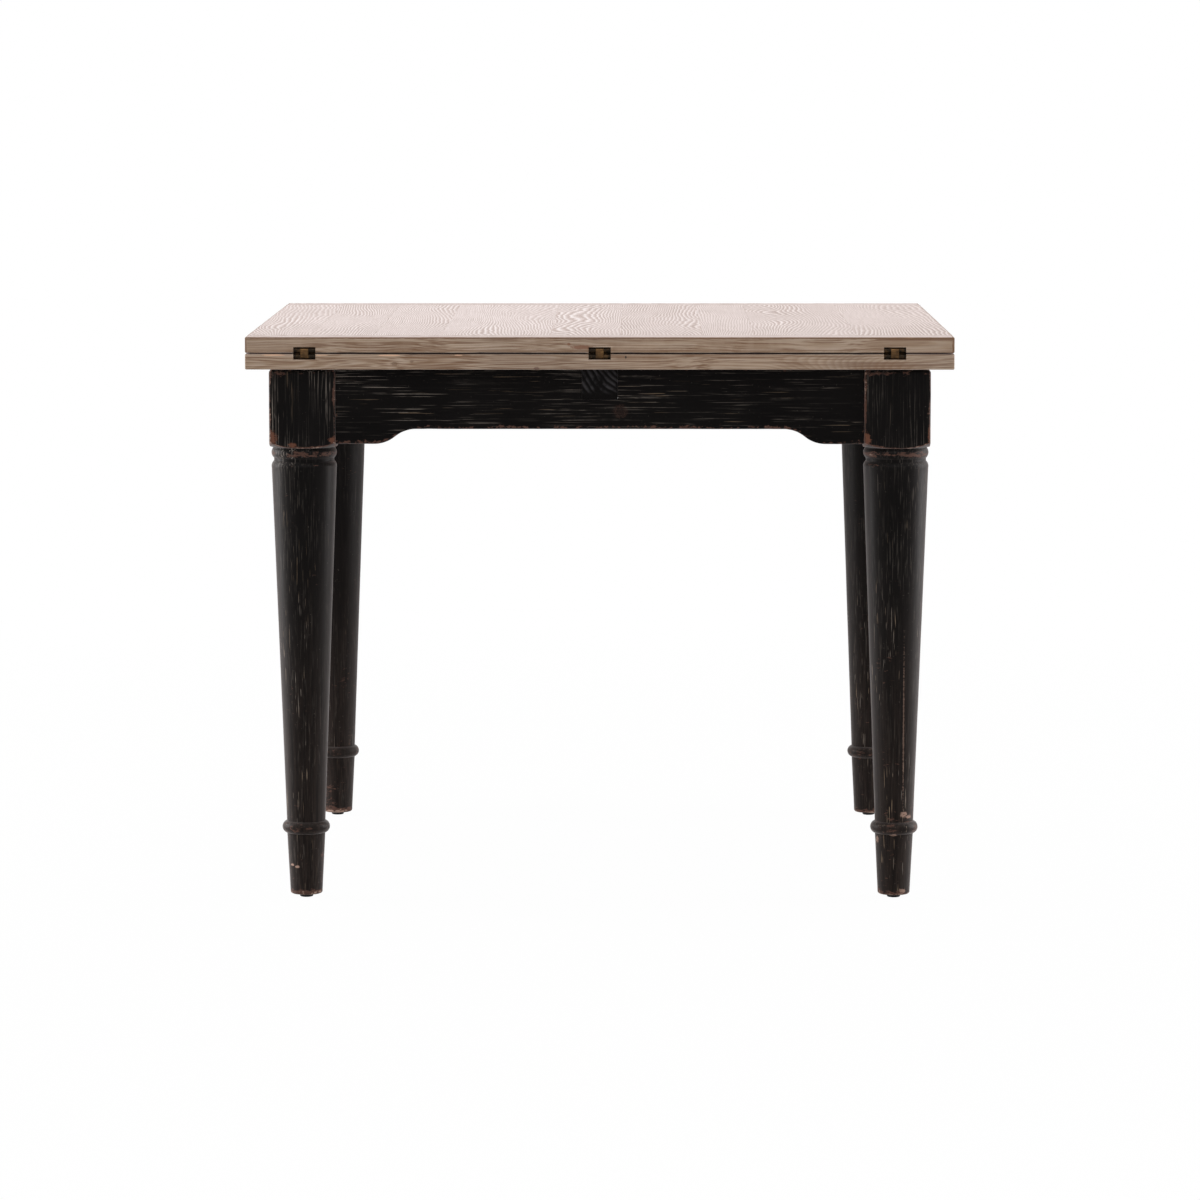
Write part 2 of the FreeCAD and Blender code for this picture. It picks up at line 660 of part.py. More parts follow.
def make_strip(face, into, side, cuts):
    """A clamping strip across a leaf's plank ends: the hinged one (-1), or the one at the back (1)."""
    outer = side * LEAF_DEPTH / 2
    inner = outer - side * STRIP_WIDTH
    half = TOP_WIDTH / 2
    strip = slab(-half, half, outer, inner, face, face + into * LEAF_THICKNESS)
    hinged = side < 0

    def on_outer_edge(box, level):
        return box.XLength > half and abs(box.YMin - outer) < TOP_ARRIS and abs(box.ZMin - level) < TOP_ARRIS

    strip = rounded(strip, MEETING_ROUND if hinged else TOP_ARRIS, lambda b: on_outer_edge(b, face))
    strip = rounded(strip, TOP_ARRIS, lambda b: on_outer_edge(b, face + into * LEAF_THICKNESS))
    middle = face + into * LEAF_THICKNESS / 2
    groove = slab(
        -half + TONGUE_LENGTH,
        half - TONGUE_LENGTH,
        inner,
        inner + side * (TONGUE_LENGTH + TONGUE_END_ROOM),
        middle - TONGUE_THICKNESS / 2,
        middle + TONGUE_THICKNESS / 2,
    )
    return without(strip.cut(groove), cuts)


def make_leaf(leaf, mix, face, into, fasteners):
    """One leaf with its hinge plates, pins and screws, as named nodes."""
    screws = hinge_screws(face, into)
    pins = [make_hinge_pin(x, face, into) for x in HINGE_PLACES]
    recesses = [hinge_recess(x, face, into) for x in HINGE_PLACES]
    nodes = make_planks(leaf, mix, face, into, fasteners)
    nodes[f"{leaf}_hinge_strip"] = make_strip(face, into, -1, recesses + screws)
    nodes[f"{leaf}_back_strip"] = make_strip(face, into, 1, [])
    for name, x, pin in zip(HINGE_NAMES, HINGE_PLACES, pins):
        nodes[f"{leaf}_hinge_plate_{name}"] = make_hinge_plate(x, face, into, screws + [pin])
    nodes[f"{leaf}_hinge_pins"] = Part.makeCompound(pins)
    nodes[f"{leaf}_hinge_screws"] = Part.makeCompound(screws)
    return nodes


def make_base():
    """The frame, legs and guide rails, as named nodes."""
    nodes = {}
    groups = {key: [] for key in ("brace_screws", "leg_bolts", "leg_washers", "leg_nuts", "floor_glides")}
    for name, corner in CORNERS.items():
        screws, pockets = brace_screws(corner)
        bolts, washers, nuts, holes = leg_bolts(corner)
        glide = make_glide(corner)
        nodes[f"leg_{name}"] = make_leg(corner, bolts + [glide])
        nodes[f"corner_brace_{name}"] = without(make_brace(corner), screws + pockets + holes)
        for key, pieces in zip(groups, (screws, bolts, washers, nuts, [glide])):
            groups[key] += pieces
    angles = []
    angle_screws = []
    for side in (-1, 1):
        for end in (-1, 1):
            angle, screws = make_angle(side, end)
            angles.append(angle)
            angle_screws += screws
    for name, apron in make_aprons().items():
        nodes[name] = without(apron, groups["brace_screws"] + angle_screws)
    nodes["guide_rail_left"] = make_rail(-1, angle_screws)
    nodes["guide_rail_right"] = make_rail(1, angle_screws)
    groups["rail_angles"] = angles
    groups["rail_angle_screws"] = angle_screws
    groups["slide_strips"] = make_slide_strips()
    for name, pieces in groups.items():
        nodes[name] = Part.makeCompound(pieces)
    return nodes


def make_slide():
    """The beam and its screws, as named nodes, and the screws that reach into the lower leaf."""
    screws, pockets = beam_screws()
    nodes = {"slide_beam": make_beam(screws + pockets), "beam_screws": Part.makeCompound(screws)}
    return nodes, screws


def main():
    """Builds every piece and writes one file for each node."""
    slide, screws = make_slide()
    nodes = {**make_base(), **slide}
    nodes.update(make_leaf("lower", LOWER_PLANK_MIX, LOWER_MEETING, -1, screws))
    nodes.update(make_leaf("upper", UPPER_PLANK_MIX, UPPER_MEETING, 1, []))
    for name, x in zip(HINGE_NAMES, HINGE_PLACES):
        nodes[f"hinge_link_{name}"] = make_hinge_link(x)
    os.makedirs("parts", exist_ok=True)
    for name, shape in nodes.items():
        shape.exportStep(f"parts/{name}.step")
    print(f"{len(nodes)} nodes, travel {SLIDE_TRAVEL:.1f}, pin inset {PIN_INSET:.2f}")


main()
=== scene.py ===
"""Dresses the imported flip-top table with its boards, paint and hinges, and sets a plain studio round it.

Sizes are in millimetres until a mesh is made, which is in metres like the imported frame. +X runs along
the hinge line, +Y towards the back and +Z up.
"""

import json
import logging
import math
from dataclasses import dataclass
from enum import Enum
from typing import Any, Callable, Sequence

import bmesh
import bpy
import numpy as np
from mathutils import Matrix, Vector

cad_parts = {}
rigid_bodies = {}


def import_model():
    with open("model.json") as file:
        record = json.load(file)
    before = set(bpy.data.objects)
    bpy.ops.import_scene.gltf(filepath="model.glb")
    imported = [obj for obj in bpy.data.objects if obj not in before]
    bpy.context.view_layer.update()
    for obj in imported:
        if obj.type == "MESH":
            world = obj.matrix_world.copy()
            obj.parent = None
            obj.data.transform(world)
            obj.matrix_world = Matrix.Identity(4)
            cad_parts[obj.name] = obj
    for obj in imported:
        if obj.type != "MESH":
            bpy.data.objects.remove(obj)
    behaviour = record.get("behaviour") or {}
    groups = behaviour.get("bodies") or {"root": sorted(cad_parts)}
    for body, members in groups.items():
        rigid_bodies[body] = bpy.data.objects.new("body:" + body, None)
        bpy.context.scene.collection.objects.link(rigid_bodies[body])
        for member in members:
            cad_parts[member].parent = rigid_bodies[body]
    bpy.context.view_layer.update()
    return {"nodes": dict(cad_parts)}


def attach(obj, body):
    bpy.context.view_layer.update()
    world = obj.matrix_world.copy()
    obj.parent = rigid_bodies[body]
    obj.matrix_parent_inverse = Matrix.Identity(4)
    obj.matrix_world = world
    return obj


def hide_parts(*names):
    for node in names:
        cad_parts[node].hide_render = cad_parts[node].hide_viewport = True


for leftover in list(bpy.data.objects):
    bpy.data.objects.remove(leftover)
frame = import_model()

LOG = logging.getLogger("table")
MM = 0.001
TAU = 2 * math.pi
WELD = 0.002 * MM
LEVEL = math.radians(0.8)
CREASE = math.radians(38)
NUMBER = "NodeSocketFloat"
VECTOR = "NodeSocketVector"
GEOMETRY = "NodeSocketGeometry"
BOARD_STEPS = (3.17, 7.31, 1.73)
CORNERS = {"front_left": (-1, -1), "front_right": (1, -1), "rear_left": (-1, 1), "rear_right": (1, 1)}
Pair = tuple[float, float]
Triple = tuple[float, float, float]
Colour = tuple[float, float, float, float]
Socket = bpy.types.NodeSocket
Tree = bpy.types.NodeTree
Material = bpy.types.Material
Piece = bpy.types.Object


class Grain(Enum):
    """Which way the grain of a piece runs."""

    ALONG_X = 0
    ALONG_Y = 1
    ALONG_Z = 2


class Side(Enum):
    """The end of a leaf that a clamping strip closes."""

    HINGED = -1
    BACK = 1


# Node trees


class Wiring:
    """Places nodes in one tree and joins their sockets."""

    def __init__(self, tree: Tree) -> None:
        """Keeps the tree to work on."""
        self.tree = tree

    def feed(self, socket: Socket, value: Any) -> None:
        """Joins an input to another node's output, or sets it to a plain value.

        Args:
            socket: The input.
            value: An output socket, or a number, vector or colour.
        """
        if isinstance(value, Socket):
            self.tree.links.new(value, socket)
        else:
            socket.default_value = value

    def add(self, kind: str, inputs: dict[Any, Any] | None = None, **settings: Any) -> bpy.types.Node:
        """Adds a node.

        Args:
            kind: The node's type name.
            inputs: Values or sockets for its inputs, by name or number.
            settings: The node's own properties.

        Returns:
            The node.
        """
        node = self.tree.nodes.new(kind)
        for name, value in settings.items():
            setattr(node, name, value)
        for key, value in (inputs or {}).items():
            self.feed(node.inputs[key], value)
        return node

    def math(self, operation: str, *values: Any, clamp: bool = False) -> Socket:
        """A sum on numbers.

        Args:
            operation: The name of the sum.
            values: Its terms, in order.
            clamp: Whether the result is kept between 0 and 1.

        Returns:
            The result's socket.
        """
        node = self.add("ShaderNodeMath", dict(enumerate(values)), operation=operation, use_clamp=clamp)
        return node.outputs[0]

    def times(self, first: Any, second: Any) -> Socket:
        """Two numbers multiplied."""
        return self.math("MULTIPLY", first, second)

    def plus(self, first: Any, second: Any) -> Socket:
        """Two numbers added."""
        return self.math("ADD", first, second)

    def minus(self, first: Any, second: Any) -> Socket:
        """The second number taken from the first."""
        return self.math("SUBTRACT", first, second)

    def vector(self, operation: str, *values: Any) -> Socket:
        """A sum on vectors.

        Args:
            operation: The name of the sum.
            values: Its terms, in order.

        Returns:
            The result's socket, a number where the sum gives one.
        """
        node = self.add("ShaderNodeVectorMath", dict(enumerate(values)), operation=operation)
        plain = operation in ("LENGTH", "DISTANCE", "DOT_PRODUCT")
        return node.outputs["Value" if plain else "Vector"]

    def ramp(self, value: Any, start: Any, end: Any, low: Any = 0.0, high: Any = 1.0) -> Socket:
        """An eased step.

        Args:
            value: What is stepped on.
            start: Where the step begins.
            end: Where it ends, which may be the smaller.
            low: The result before the step.
            high: The result after it.

        Returns:
            The result's socket.
        """
        terms = {0: value, 1: start, 2: end, 3: low, 4: high}
        return self.add("ShaderNodeMapRange", terms, interpolation_type="SMOOTHSTEP").outputs[0]

    def mix(self, share: Any, first: Any, second: Any, blend: str = "MIX") -> Socket:
        """Two colours mixed.

        Args:
            share: How much of the second shows.
            first: The first colour.
            second: The second colour.
            blend: The kind of mix.

        Returns:
            The colour's socket.
        """
        terms = {0: share, 6: first, 7: second}
        return self.add("ShaderNodeMix", terms, data_type="RGBA", blend_type=blend).outputs[2]

    def noise(self, place: Any, stretch: Any, detail: float = 2.0, rough: float = 0.5) -> Socket:
        """A noise from 0 to 1.

        Args:
            place: The point.
            stretch: Its three scales.
            detail: How many finer layers it has.
            rough: How strong they are.

        Returns:
            The noise's socket.
        """
        terms = {"Vector": self.vector("MULTIPLY", place, stretch), "Scale": 1.0, "Detail": detail}
        return self.add("ShaderNodeTexNoise", {**terms, "Roughness": rough}).outputs[0]

    def join(self, x: Any, y: Any, z: Any) -> Socket:
        """Three numbers as one vector."""
        return self.add("ShaderNodeCombineXYZ", {0: x, 1: y, 2: z}).outputs[0]

    def split(self, vector: Any) -> tuple[Socket, ...]:
        """One vector as three numbers."""
        return tuple(self.add("ShaderNodeSeparateXYZ", {0: vector}).outputs)


def new_group(
    name: str, inputs: dict[str, Any], outputs: Sequence[str], made: str = NUMBER
) -> tuple[Wiring, Any, Any]:
    """Starts a node group, a geometry tree where it makes geometry and else a shader tree.

    Args:
        name: The group's name.
        inputs: By name, each input's default value, or its socket type where it has none.
        outputs: Names of the outputs.
        made: The socket type of the outputs.

    Returns:
        The tree's wiring, the sockets that bring its inputs and those that take its outputs.
    """
    kind = "GeometryNodeTree" if made == GEOMETRY else "ShaderNodeTree"
    tree = bpy.data.node_groups.new(name, kind)
    for label, value in inputs.items():
        bare = isinstance(value, str)
        socket_type = value if bare else VECTOR if isinstance(value, tuple) else NUMBER
        socket = tree.interface.new_socket(label, in_out="INPUT", socket_type=socket_type)
        if not bare:
            socket.default_value = value
    for label in outputs:
        tree.interface.new_socket(label, in_out="OUTPUT", socket_type=made)
    wiring = Wiring(tree)
    return wiring, wiring.add("NodeGroupInput").outputs, wiring.add("NodeGroupOutput").inputs


class Effects:
    """Surface effects that several finishes share, each one a shader node group that is built once."""

    def __init__(self) -> None:
        """Builds the groups."""
        self.figure = self._figure()
        self.streaks = self._streaks()
        self.rubbing = self._rubbing()
        self.spot = self._spot()
        self.handling = self._handling()

    @staticmethod
    def _figure() -> Tree:
        """A board's figure, its grain along Y: rings, lime lines that are partly painted glints, fibre,
        pores, knots, tone, curl and stains.

        Returns:
            The group.
        """
        w, given, leave = new_group(
            "Board figure",
            {"Place": VECTOR, "Rings": 40.0, "Run": 0.5, "Even": 0.0, "Knots": 1.0, "Curl": 0.3},
            ("Rings", "Lime", "Fibre", "Pores", "Knots", "Tone", "Curl", "Stains"),
        )
        place = given["Place"]
        spread = w.vector("MULTIPLY", place, (2.3, 1.2, 2.3))
        reach = w.add("ShaderNodeTexVoronoi", {"Vector": spread, "Scale": 1.0}).outputs["Distance"]
        swirl = w.times(w.ramp(reach, 0.36, 0.02), given["Knots"])
        waves = w.noise(place, (46.0, 17.0, 46.0), 1.0, 0.4)
        broad = w.noise(place, w.join(7.0, given["Run"], 7.0), 1.5, 0.4)
        height = w.plus(broad, w.times(swirl, 0.2))
        x, _, z = w.split(place)
        even = w.times(w.plus(x, w.times(z, 0.6)), given["Even"])
        turn = w.plus(w.times(height, given["Rings"]), even)
        turn = w.math("FRACT", w.plus(turn, w.times(waves, 1.1)))
        shown = w.ramp(w.noise(place, (9.0, 1.1, 9.0), 2.0, 0.6), 0.38, 0.64, 0.34, 0.64)
        dark = w.times(w.ramp(turn, 0.3, 0.78), w.ramp(turn, 1.0, 0.86))
        w.feed(leave["Rings"], w.times(dark, shown))
        # Pale lines beside the rings: partly lime in the grain and partly painted glints.
        lime_glint = w.times(w.ramp(turn, 0.0, 0.1), w.ramp(turn, 0.4, 0.16))
        w.feed(leave["Lime"], w.times(lime_glint, shown))
        sway = w.minus(w.noise(place, (5.0, 5.0, 5.0), 1.0), 0.5)
        sway = w.times(sway, 0.02)
        bent = w.vector("ADD", place, w.join(sway, 0.0, sway))
        w.feed(leave["Stains"], w.ramp(w.noise(bent, (560.0, 3.5, 560.0), 1.5, 0.6), 0.46, 0.64))
        w.feed(leave["Fibre"], w.noise(bent, (430.0, 8.0, 430.0), 3.0, 0.6))
        w.feed(leave["Pores"], w.ramp(w.noise(place, (1050.0, 24.0, 1050.0), 1.0), 0.60, 0.74))
        w.feed(leave["Knots"], w.times(w.ramp(reach, 0.062, 0.03), given["Knots"]))
        w.feed(leave["Tone"], w.noise(place, (5.0, 0.8, 5.0)))
        curl = w.noise(place, (34.0, 62.0, 34.0))
        patch = w.ramp(w.noise(place, (4.0, 2.0, 4.0), 1.0), 0.42, 0.66)
        curl = w.times(w.ramp(curl, 0.4, 0.64), patch)
        w.feed(leave["Curl"], w.times(curl, given["Curl"]))
        return w.tree

    @staticmethod
    def _streaks() -> Tree:
        """Marks along the grain, which runs along Y: streaks, sparse scratches, ridges and their warmth.

        Returns:
            The group.
        """
        w, given, leave = new_group(
            "Streaks",
            {"Place": VECTOR, "Density": 0.0},
            ("Streaks", "Scratches", "Ridges", "Warmth"),
        )
        place = given["Place"]
        patch = w.ramp(w.noise(place, (17.0, 5.0, 17.0), 2.0, 0.6), 0.36, 0.66, 0.08, 1.0)
        fine = w.noise(place, (640.0, 9.0, 640.0), 1.0)
        fine = w.ramp(w.plus(fine, given["Density"]), 0.605, 0.665)
        broken = w.ramp(w.noise(place, (230.0, 46.0, 230.0), 2.0, 0.6), 0.36, 0.6, 0.2, 1.0)
        w.feed(leave["Streaks"], w.times(w.times(fine, broken), patch))
        moved = w.vector("ADD", place, (3.1, 5.7, 1.9))
        thin = w.ramp(w.noise(moved, (600.0, 15.0, 600.0), 1.5, 0.6), 0.65, 0.70)
        spread = w.ramp(w.noise(moved, (26.0, 7.0, 26.0), 1.5, 0.5), 0.44, 0.6)
        w.feed(leave["Scratches"], w.times(thin, spread))
        w.feed(leave["Ridges"], w.noise(place, (210.0, 3.0, 210.0), 4.0, 0.75))
        w.feed(leave["Warmth"], w.ramp(w.noise(place, (70.0, 12.0, 70.0), 1.0), 0.38, 0.62))
        return w.tree

    @staticmethod
    def _rubbing() -> Tree:
        """Where a coat is rubbed thin or through, ragged, from a mark that is 1 on an arris.

        Returns:
            The group.
        """
        w, given, leave = new_group(
            "Rubbed edges",
            {"Place": VECTOR, "Wear": 0.0, "Amount": 1.0, "Rags": 2.2, "Grit": (170.0, 120.0, 170.0)},
            ("Thin", "Bare"),
        )
        place = given["Place"]
        ragged = w.noise(place, given["Grit"], 4.0, 0.75)
        broad = w.noise(place, (24.0, 14.0, 24.0), 2.0, 0.6)
        level = w.times(given["Wear"], given["Amount"])
        rags = w.plus(ragged, w.times(w.minus(broad, 0.5), 0.55))
        rags = w.times(w.minus(rags, 0.5), given["Rags"])
        level = w.plus(level, rags)
        near = w.ramp(given["Wear"], 0.03, 0.2)
        w.feed(leave["Thin"], w.times(w.ramp(level, 0.54, 0.66), near))
        w.feed(leave["Bare"], w.times(w.ramp(level, 0.98, 1.08), near))
        return w.tree

    @staticmethod
    def _spot() -> Tree:
        """A single mark at a set place, such as a knot or a nail hole, ragged at its rim.

        Returns:
            The group.
        """
        w, given, leave = new_group(
            "Single mark",
            {"Place": VECTOR, "Middle": VECTOR, "Reach": VECTOR, "Rags": 0.8},
            ("Mark", "Swirl"),
        )
        away = w.vector("SUBTRACT", given["Place"], given["Middle"])
        away = w.vector("LENGTH", w.vector("DIVIDE", away, given["Reach"]))
        rags = w.minus(w.noise(given["Place"], (210.0, 210.0, 440.0), 4.0, 0.75), 0.5)
        away = w.plus(away, w.times(rags, given["Rags"]))
        w.feed(leave["Mark"], w.ramp(away, 1.0, 0.6))
        swirl = w.math("FRACT", w.times(away, 3.0))
        swirl = w.times(w.ramp(swirl, 0.3, 0.8), w.ramp(swirl, 1.0, 0.85))
        w.feed(leave["Swirl"], w.times(swirl, w.ramp(away, 1.7, 0.8)))
        return w.tree

    @staticmethod
    def _handling() -> Tree:
        """The uneven film that handling and dusting leave, and specks in it.

        Returns:
            The group.
        """
        w, given, leave = new_group(
            "Handling",
            {"Place": VECTOR, "Size": 1.0},
            ("Film", "Specks"),
        )
        place = w.vector("MULTIPLY", given["Place"], w.join(*[given["Size"]] * 3))
        w.feed(leave["Film"], w.ramp(w.noise(place, (11.0, 7.0, 11.0), 3.0, 0.6), 0.3, 0.75))
        w.feed(leave["Specks"], w.ramp(w.noise(place, (330.0, 330.0, 330.0), 1.0), 0.72, 0.8))
        return w.tree


class Coat:
    """A material being made: a Principled shader, its wiring and the point that its patterns read."""

    def __init__(self, name: str, grain: Grain = Grain.ALONG_Y) -> None:
        """Starts a material.

        Args:
            name: The material's name.
            grain: The piece's own grain, which the patterns see along Y.
        """
        self.material = bpy.data.materials.new(name)
        self.material.use_nodes = True
        self.w = Wiring(self.material.node_tree)
        self.shader = self.material.node_tree.nodes["Principled BSDF"]
        here = self.w.add("ShaderNodeTexCoord").outputs["Object"]
        x, y, z = self.w.split(here)
        turned = {Grain.ALONG_X: (y, x, z), Grain.ALONG_Y: (x, y, z), Grain.ALONG_Z: (x, z, y)}[grain]
        board = self.mark("board")
        offset = self.w.join(*[self.w.times(board, step) for step in BOARD_STEPS])
        self.here = here
        self.place = self.w.vector("ADD", self.w.join(*turned), offset)

    def mark(self, name: str) -> Socket:
        """A number kept on the mesh, such as its wear."""
        return self.w.add("ShaderNodeAttribute", attribute_name=name).outputs["Fac"]

    def effect(self, tree: Tree, **values: Any) -> Any:
        """Places a shared effect.

        Args:
            tree: The effect's group.
            values: Values for its inputs. The point is the patterns' own unless it is among them.

        Returns:
            The group's outputs, by name.
        """
        return self.w.add("ShaderNodeGroup", {"Place": self.place, **values}, node_tree=tree).outputs

    def relief(self, height: Any, depth: float, strength: float = 1.0) -> None:
        """Gives the surface a fine relief.

        Args:
            height: The relief's height, from 0 to 1.
            depth: How deep that is, in millimetres.
            strength: How strongly it shows.
        """
        bump = self.w.add("ShaderNodeBump", {"Strength": strength, "Distance": depth * MM, "Height": height})
        self.w.feed(self.shader.inputs["Normal"], bump.outputs[0])

    def spots(self, tree: Tree, spots: Sequence["Spot"], colour: Any, line: Any) -> Any:
        """Puts single marks on a colour.

        Args:
            tree: The group of such a mark.
            spots: The marks.
            colour: The colour under them.
            line: The colour of the rings round a knot.

        Returns:
            The marked colour.
        """
        w = self.w
        for spot in spots:
            middle, reach = (tuple(v * MM for v in values) for values in (spot.middle, spot.reach))
            mark = self.effect(tree, Place=self.here, Middle=middle, Reach=reach, Rags=spot.rags)
            colour = w.mix(w.times(mark["Swirl"], spot.swirl), colour, line)
            colour = w.mix(w.times(mark["Mark"], spot.strength), colour, spot.colour)
        return colour

    def set(self, **values: Any) -> None:
        """Sets the shader's inputs, named with low lines for spaces."""
        for name, value in values.items():
            self.w.feed(self.shader.inputs[name.replace("_", " ")], value)


# Finishes


@dataclass(frozen=True)
class Spot:
    """One mark on a board, such as a knot or a nail hole."""

    middle: Triple
    reach: Triple
    colour: Colour
    strength: float
    rags: float
    swirl: float = 0.0


@dataclass(frozen=True)
class LimedPine:
    """Pine boards, limed on their faces and less on their edges, and rubbed along their arrises.

    The faces' paler, pinker colour is partly liming and partly painted top light and grazing sheen.
    """

    effects: Effects
    # Face colours are paler and pinker than edge colours: liming, plus painted top light and grazing sheen.
    face_pale: Colour = (0.60, 0.505, 0.487, 1)
    face_warm: Colour = (0.49, 0.39, 0.363, 1)
    face_line: Colour = (0.20, 0.125, 0.095, 1)
    # The lime colours are partly lime in the grain and partly painted glints.
    face_lime_glint: Colour = (0.87, 0.82, 0.82, 1)
    edge_pale: Colour = (0.53, 0.398, 0.298, 1)
    edge_warm: Colour = (0.38, 0.26, 0.172, 1)
    edge_line: Colour = (0.185, 0.092, 0.044, 1)
    edge_lime_glint: Colour = (0.51, 0.405, 0.32, 1)
    knot: Colour = (0.085, 0.045, 0.024, 1)
    rubbed: Colour = (0.170, 0.082, 0.038, 1)
    bare: Colour = (0.52, 0.28, 0.13, 1)
    # Painted shade: the dark colour of the shaded gap between the two leaves.
    grime: Colour = (0.03, 0.021, 0.016, 1)
    age: Colour = (0.82, 0.78, 0.752, 1)
    dust: Colour = (0.36, 0.33, 0.31, 1)

    def make(
        self, name: str, grain: Grain, rings: Triple, aged: float, spots: Sequence[Spot] = ()
    ) -> Material:
        """Builds the material.

        Args:
            name: Its name.
            grain: The way the boards run.
            rings: How much their growth rings bend, how soon they change along the grain, and how many run
                straight through each metre of width.
            aged: How far the limed faces have warmed with age.
            spots: Single marks at set places.

        Returns:
            The material.
        """
        coat = Coat(name, grain)
        w = coat.w
        bend, run, even = rings
        figure = coat.effect(self.effects.figure, Rings=bend, Run=run, Even=even, Curl=0.4)
        x, y, _ = w.split(coat.here)
        amount = w.ramp(x, -0.15, 0.2, 0.82, 0.95)
        rub = coat.effect(self.effects.rubbing, Wear=coat.mark("wear"), Amount=amount, Rags=0.4)
        film = coat.effect(self.effects.handling, Size=0.8)
        fibre = figure["Fibre"]
        # The limed mark picks the face colours, which are partly liming and partly painted top light and
        # grazing sheen.
        limed = coat.mark("limed")
        pale = w.mix(limed, self.edge_pale, self.face_pale)
        warm = w.mix(limed, self.edge_warm, self.face_warm)
        line = w.mix(limed, self.edge_line, self.face_line)
        lime_glint = w.mix(limed, self.edge_lime_glint, self.face_lime_glint)
        ground = w.mix(w.ramp(fibre, 0.34, 0.66), warm, pale)
        ground = w.mix(w.ramp(figure["Tone"], 0.35, 0.7, 0.0, 0.55), ground, warm)
        streak = w.times(figure["Rings"], w.ramp(fibre, 0.25, 0.75, 0.95, 0.5))
        colour = w.mix(w.times(streak, 0.95), ground, line)
        # Pale lines mixed in, partly lime and partly painted glints.
        colour = w.mix(w.times(figure["Lime"], 0.8), colour, lime_glint)
        stains = w.times(figure["Stains"], w.ramp(limed, 0.0, 1.0, 0.84, 0.14))
        colour = w.mix(stains, colour, line)
        colour = w.mix(w.times(figure["Curl"], 0.5), colour, pale)
        colour = w.mix(w.times(figure["Pores"], 0.33), colour, line)
        age = w.plus(coat.mark("tone"), w.ramp(y, -0.47, -0.05, 0.35 + aged, aged))
        colour = w.mix(w.times(age, limed), colour, self.age, "MULTIPLY")
        colour = w.mix(figure["Knots"], colour, self.knot)
        colour = coat.spots(self.effects.spot, spots, colour, line)
        colour = w.mix(w.times(rub["Thin"], 0.85), colour, self.rubbed)
        colour = w.mix(w.times(rub["Bare"], 0.6), colour, self.bare)
        # Painted shade in the gap between the leaves along the meeting arrises, weaker towards the ends of
        # the strips.
        reach = w.ramp(w.math("ABSOLUTE", x), 0.34, 0.47, 1.0, 0.35)
        colour = w.mix(w.times(coat.mark("grime"), reach), colour, self.grime)
        grey = w.ramp(film["Film"], 0.2, 0.9, 0.0, 0.10)
        colour = w.mix(grey, colour, self.dust)
        rough = w.plus(w.times(fibre, 0.16), w.times(film["Film"], 0.08))
        rough = w.plus(rough, w.ramp(limed, 0.0, 1.0, 0.42, 0.3))
        rough = w.plus(rough, w.times(figure["Rings"], 0.3))
        coat.set(Base_Color=colour, Roughness=rough)
        height = w.minus(w.times(fibre, 0.7), w.times(figure["Rings"], 0.5))
        coat.relief(w.minus(height, figure["Pores"]), 0.22, 0.6)
        return coat.material


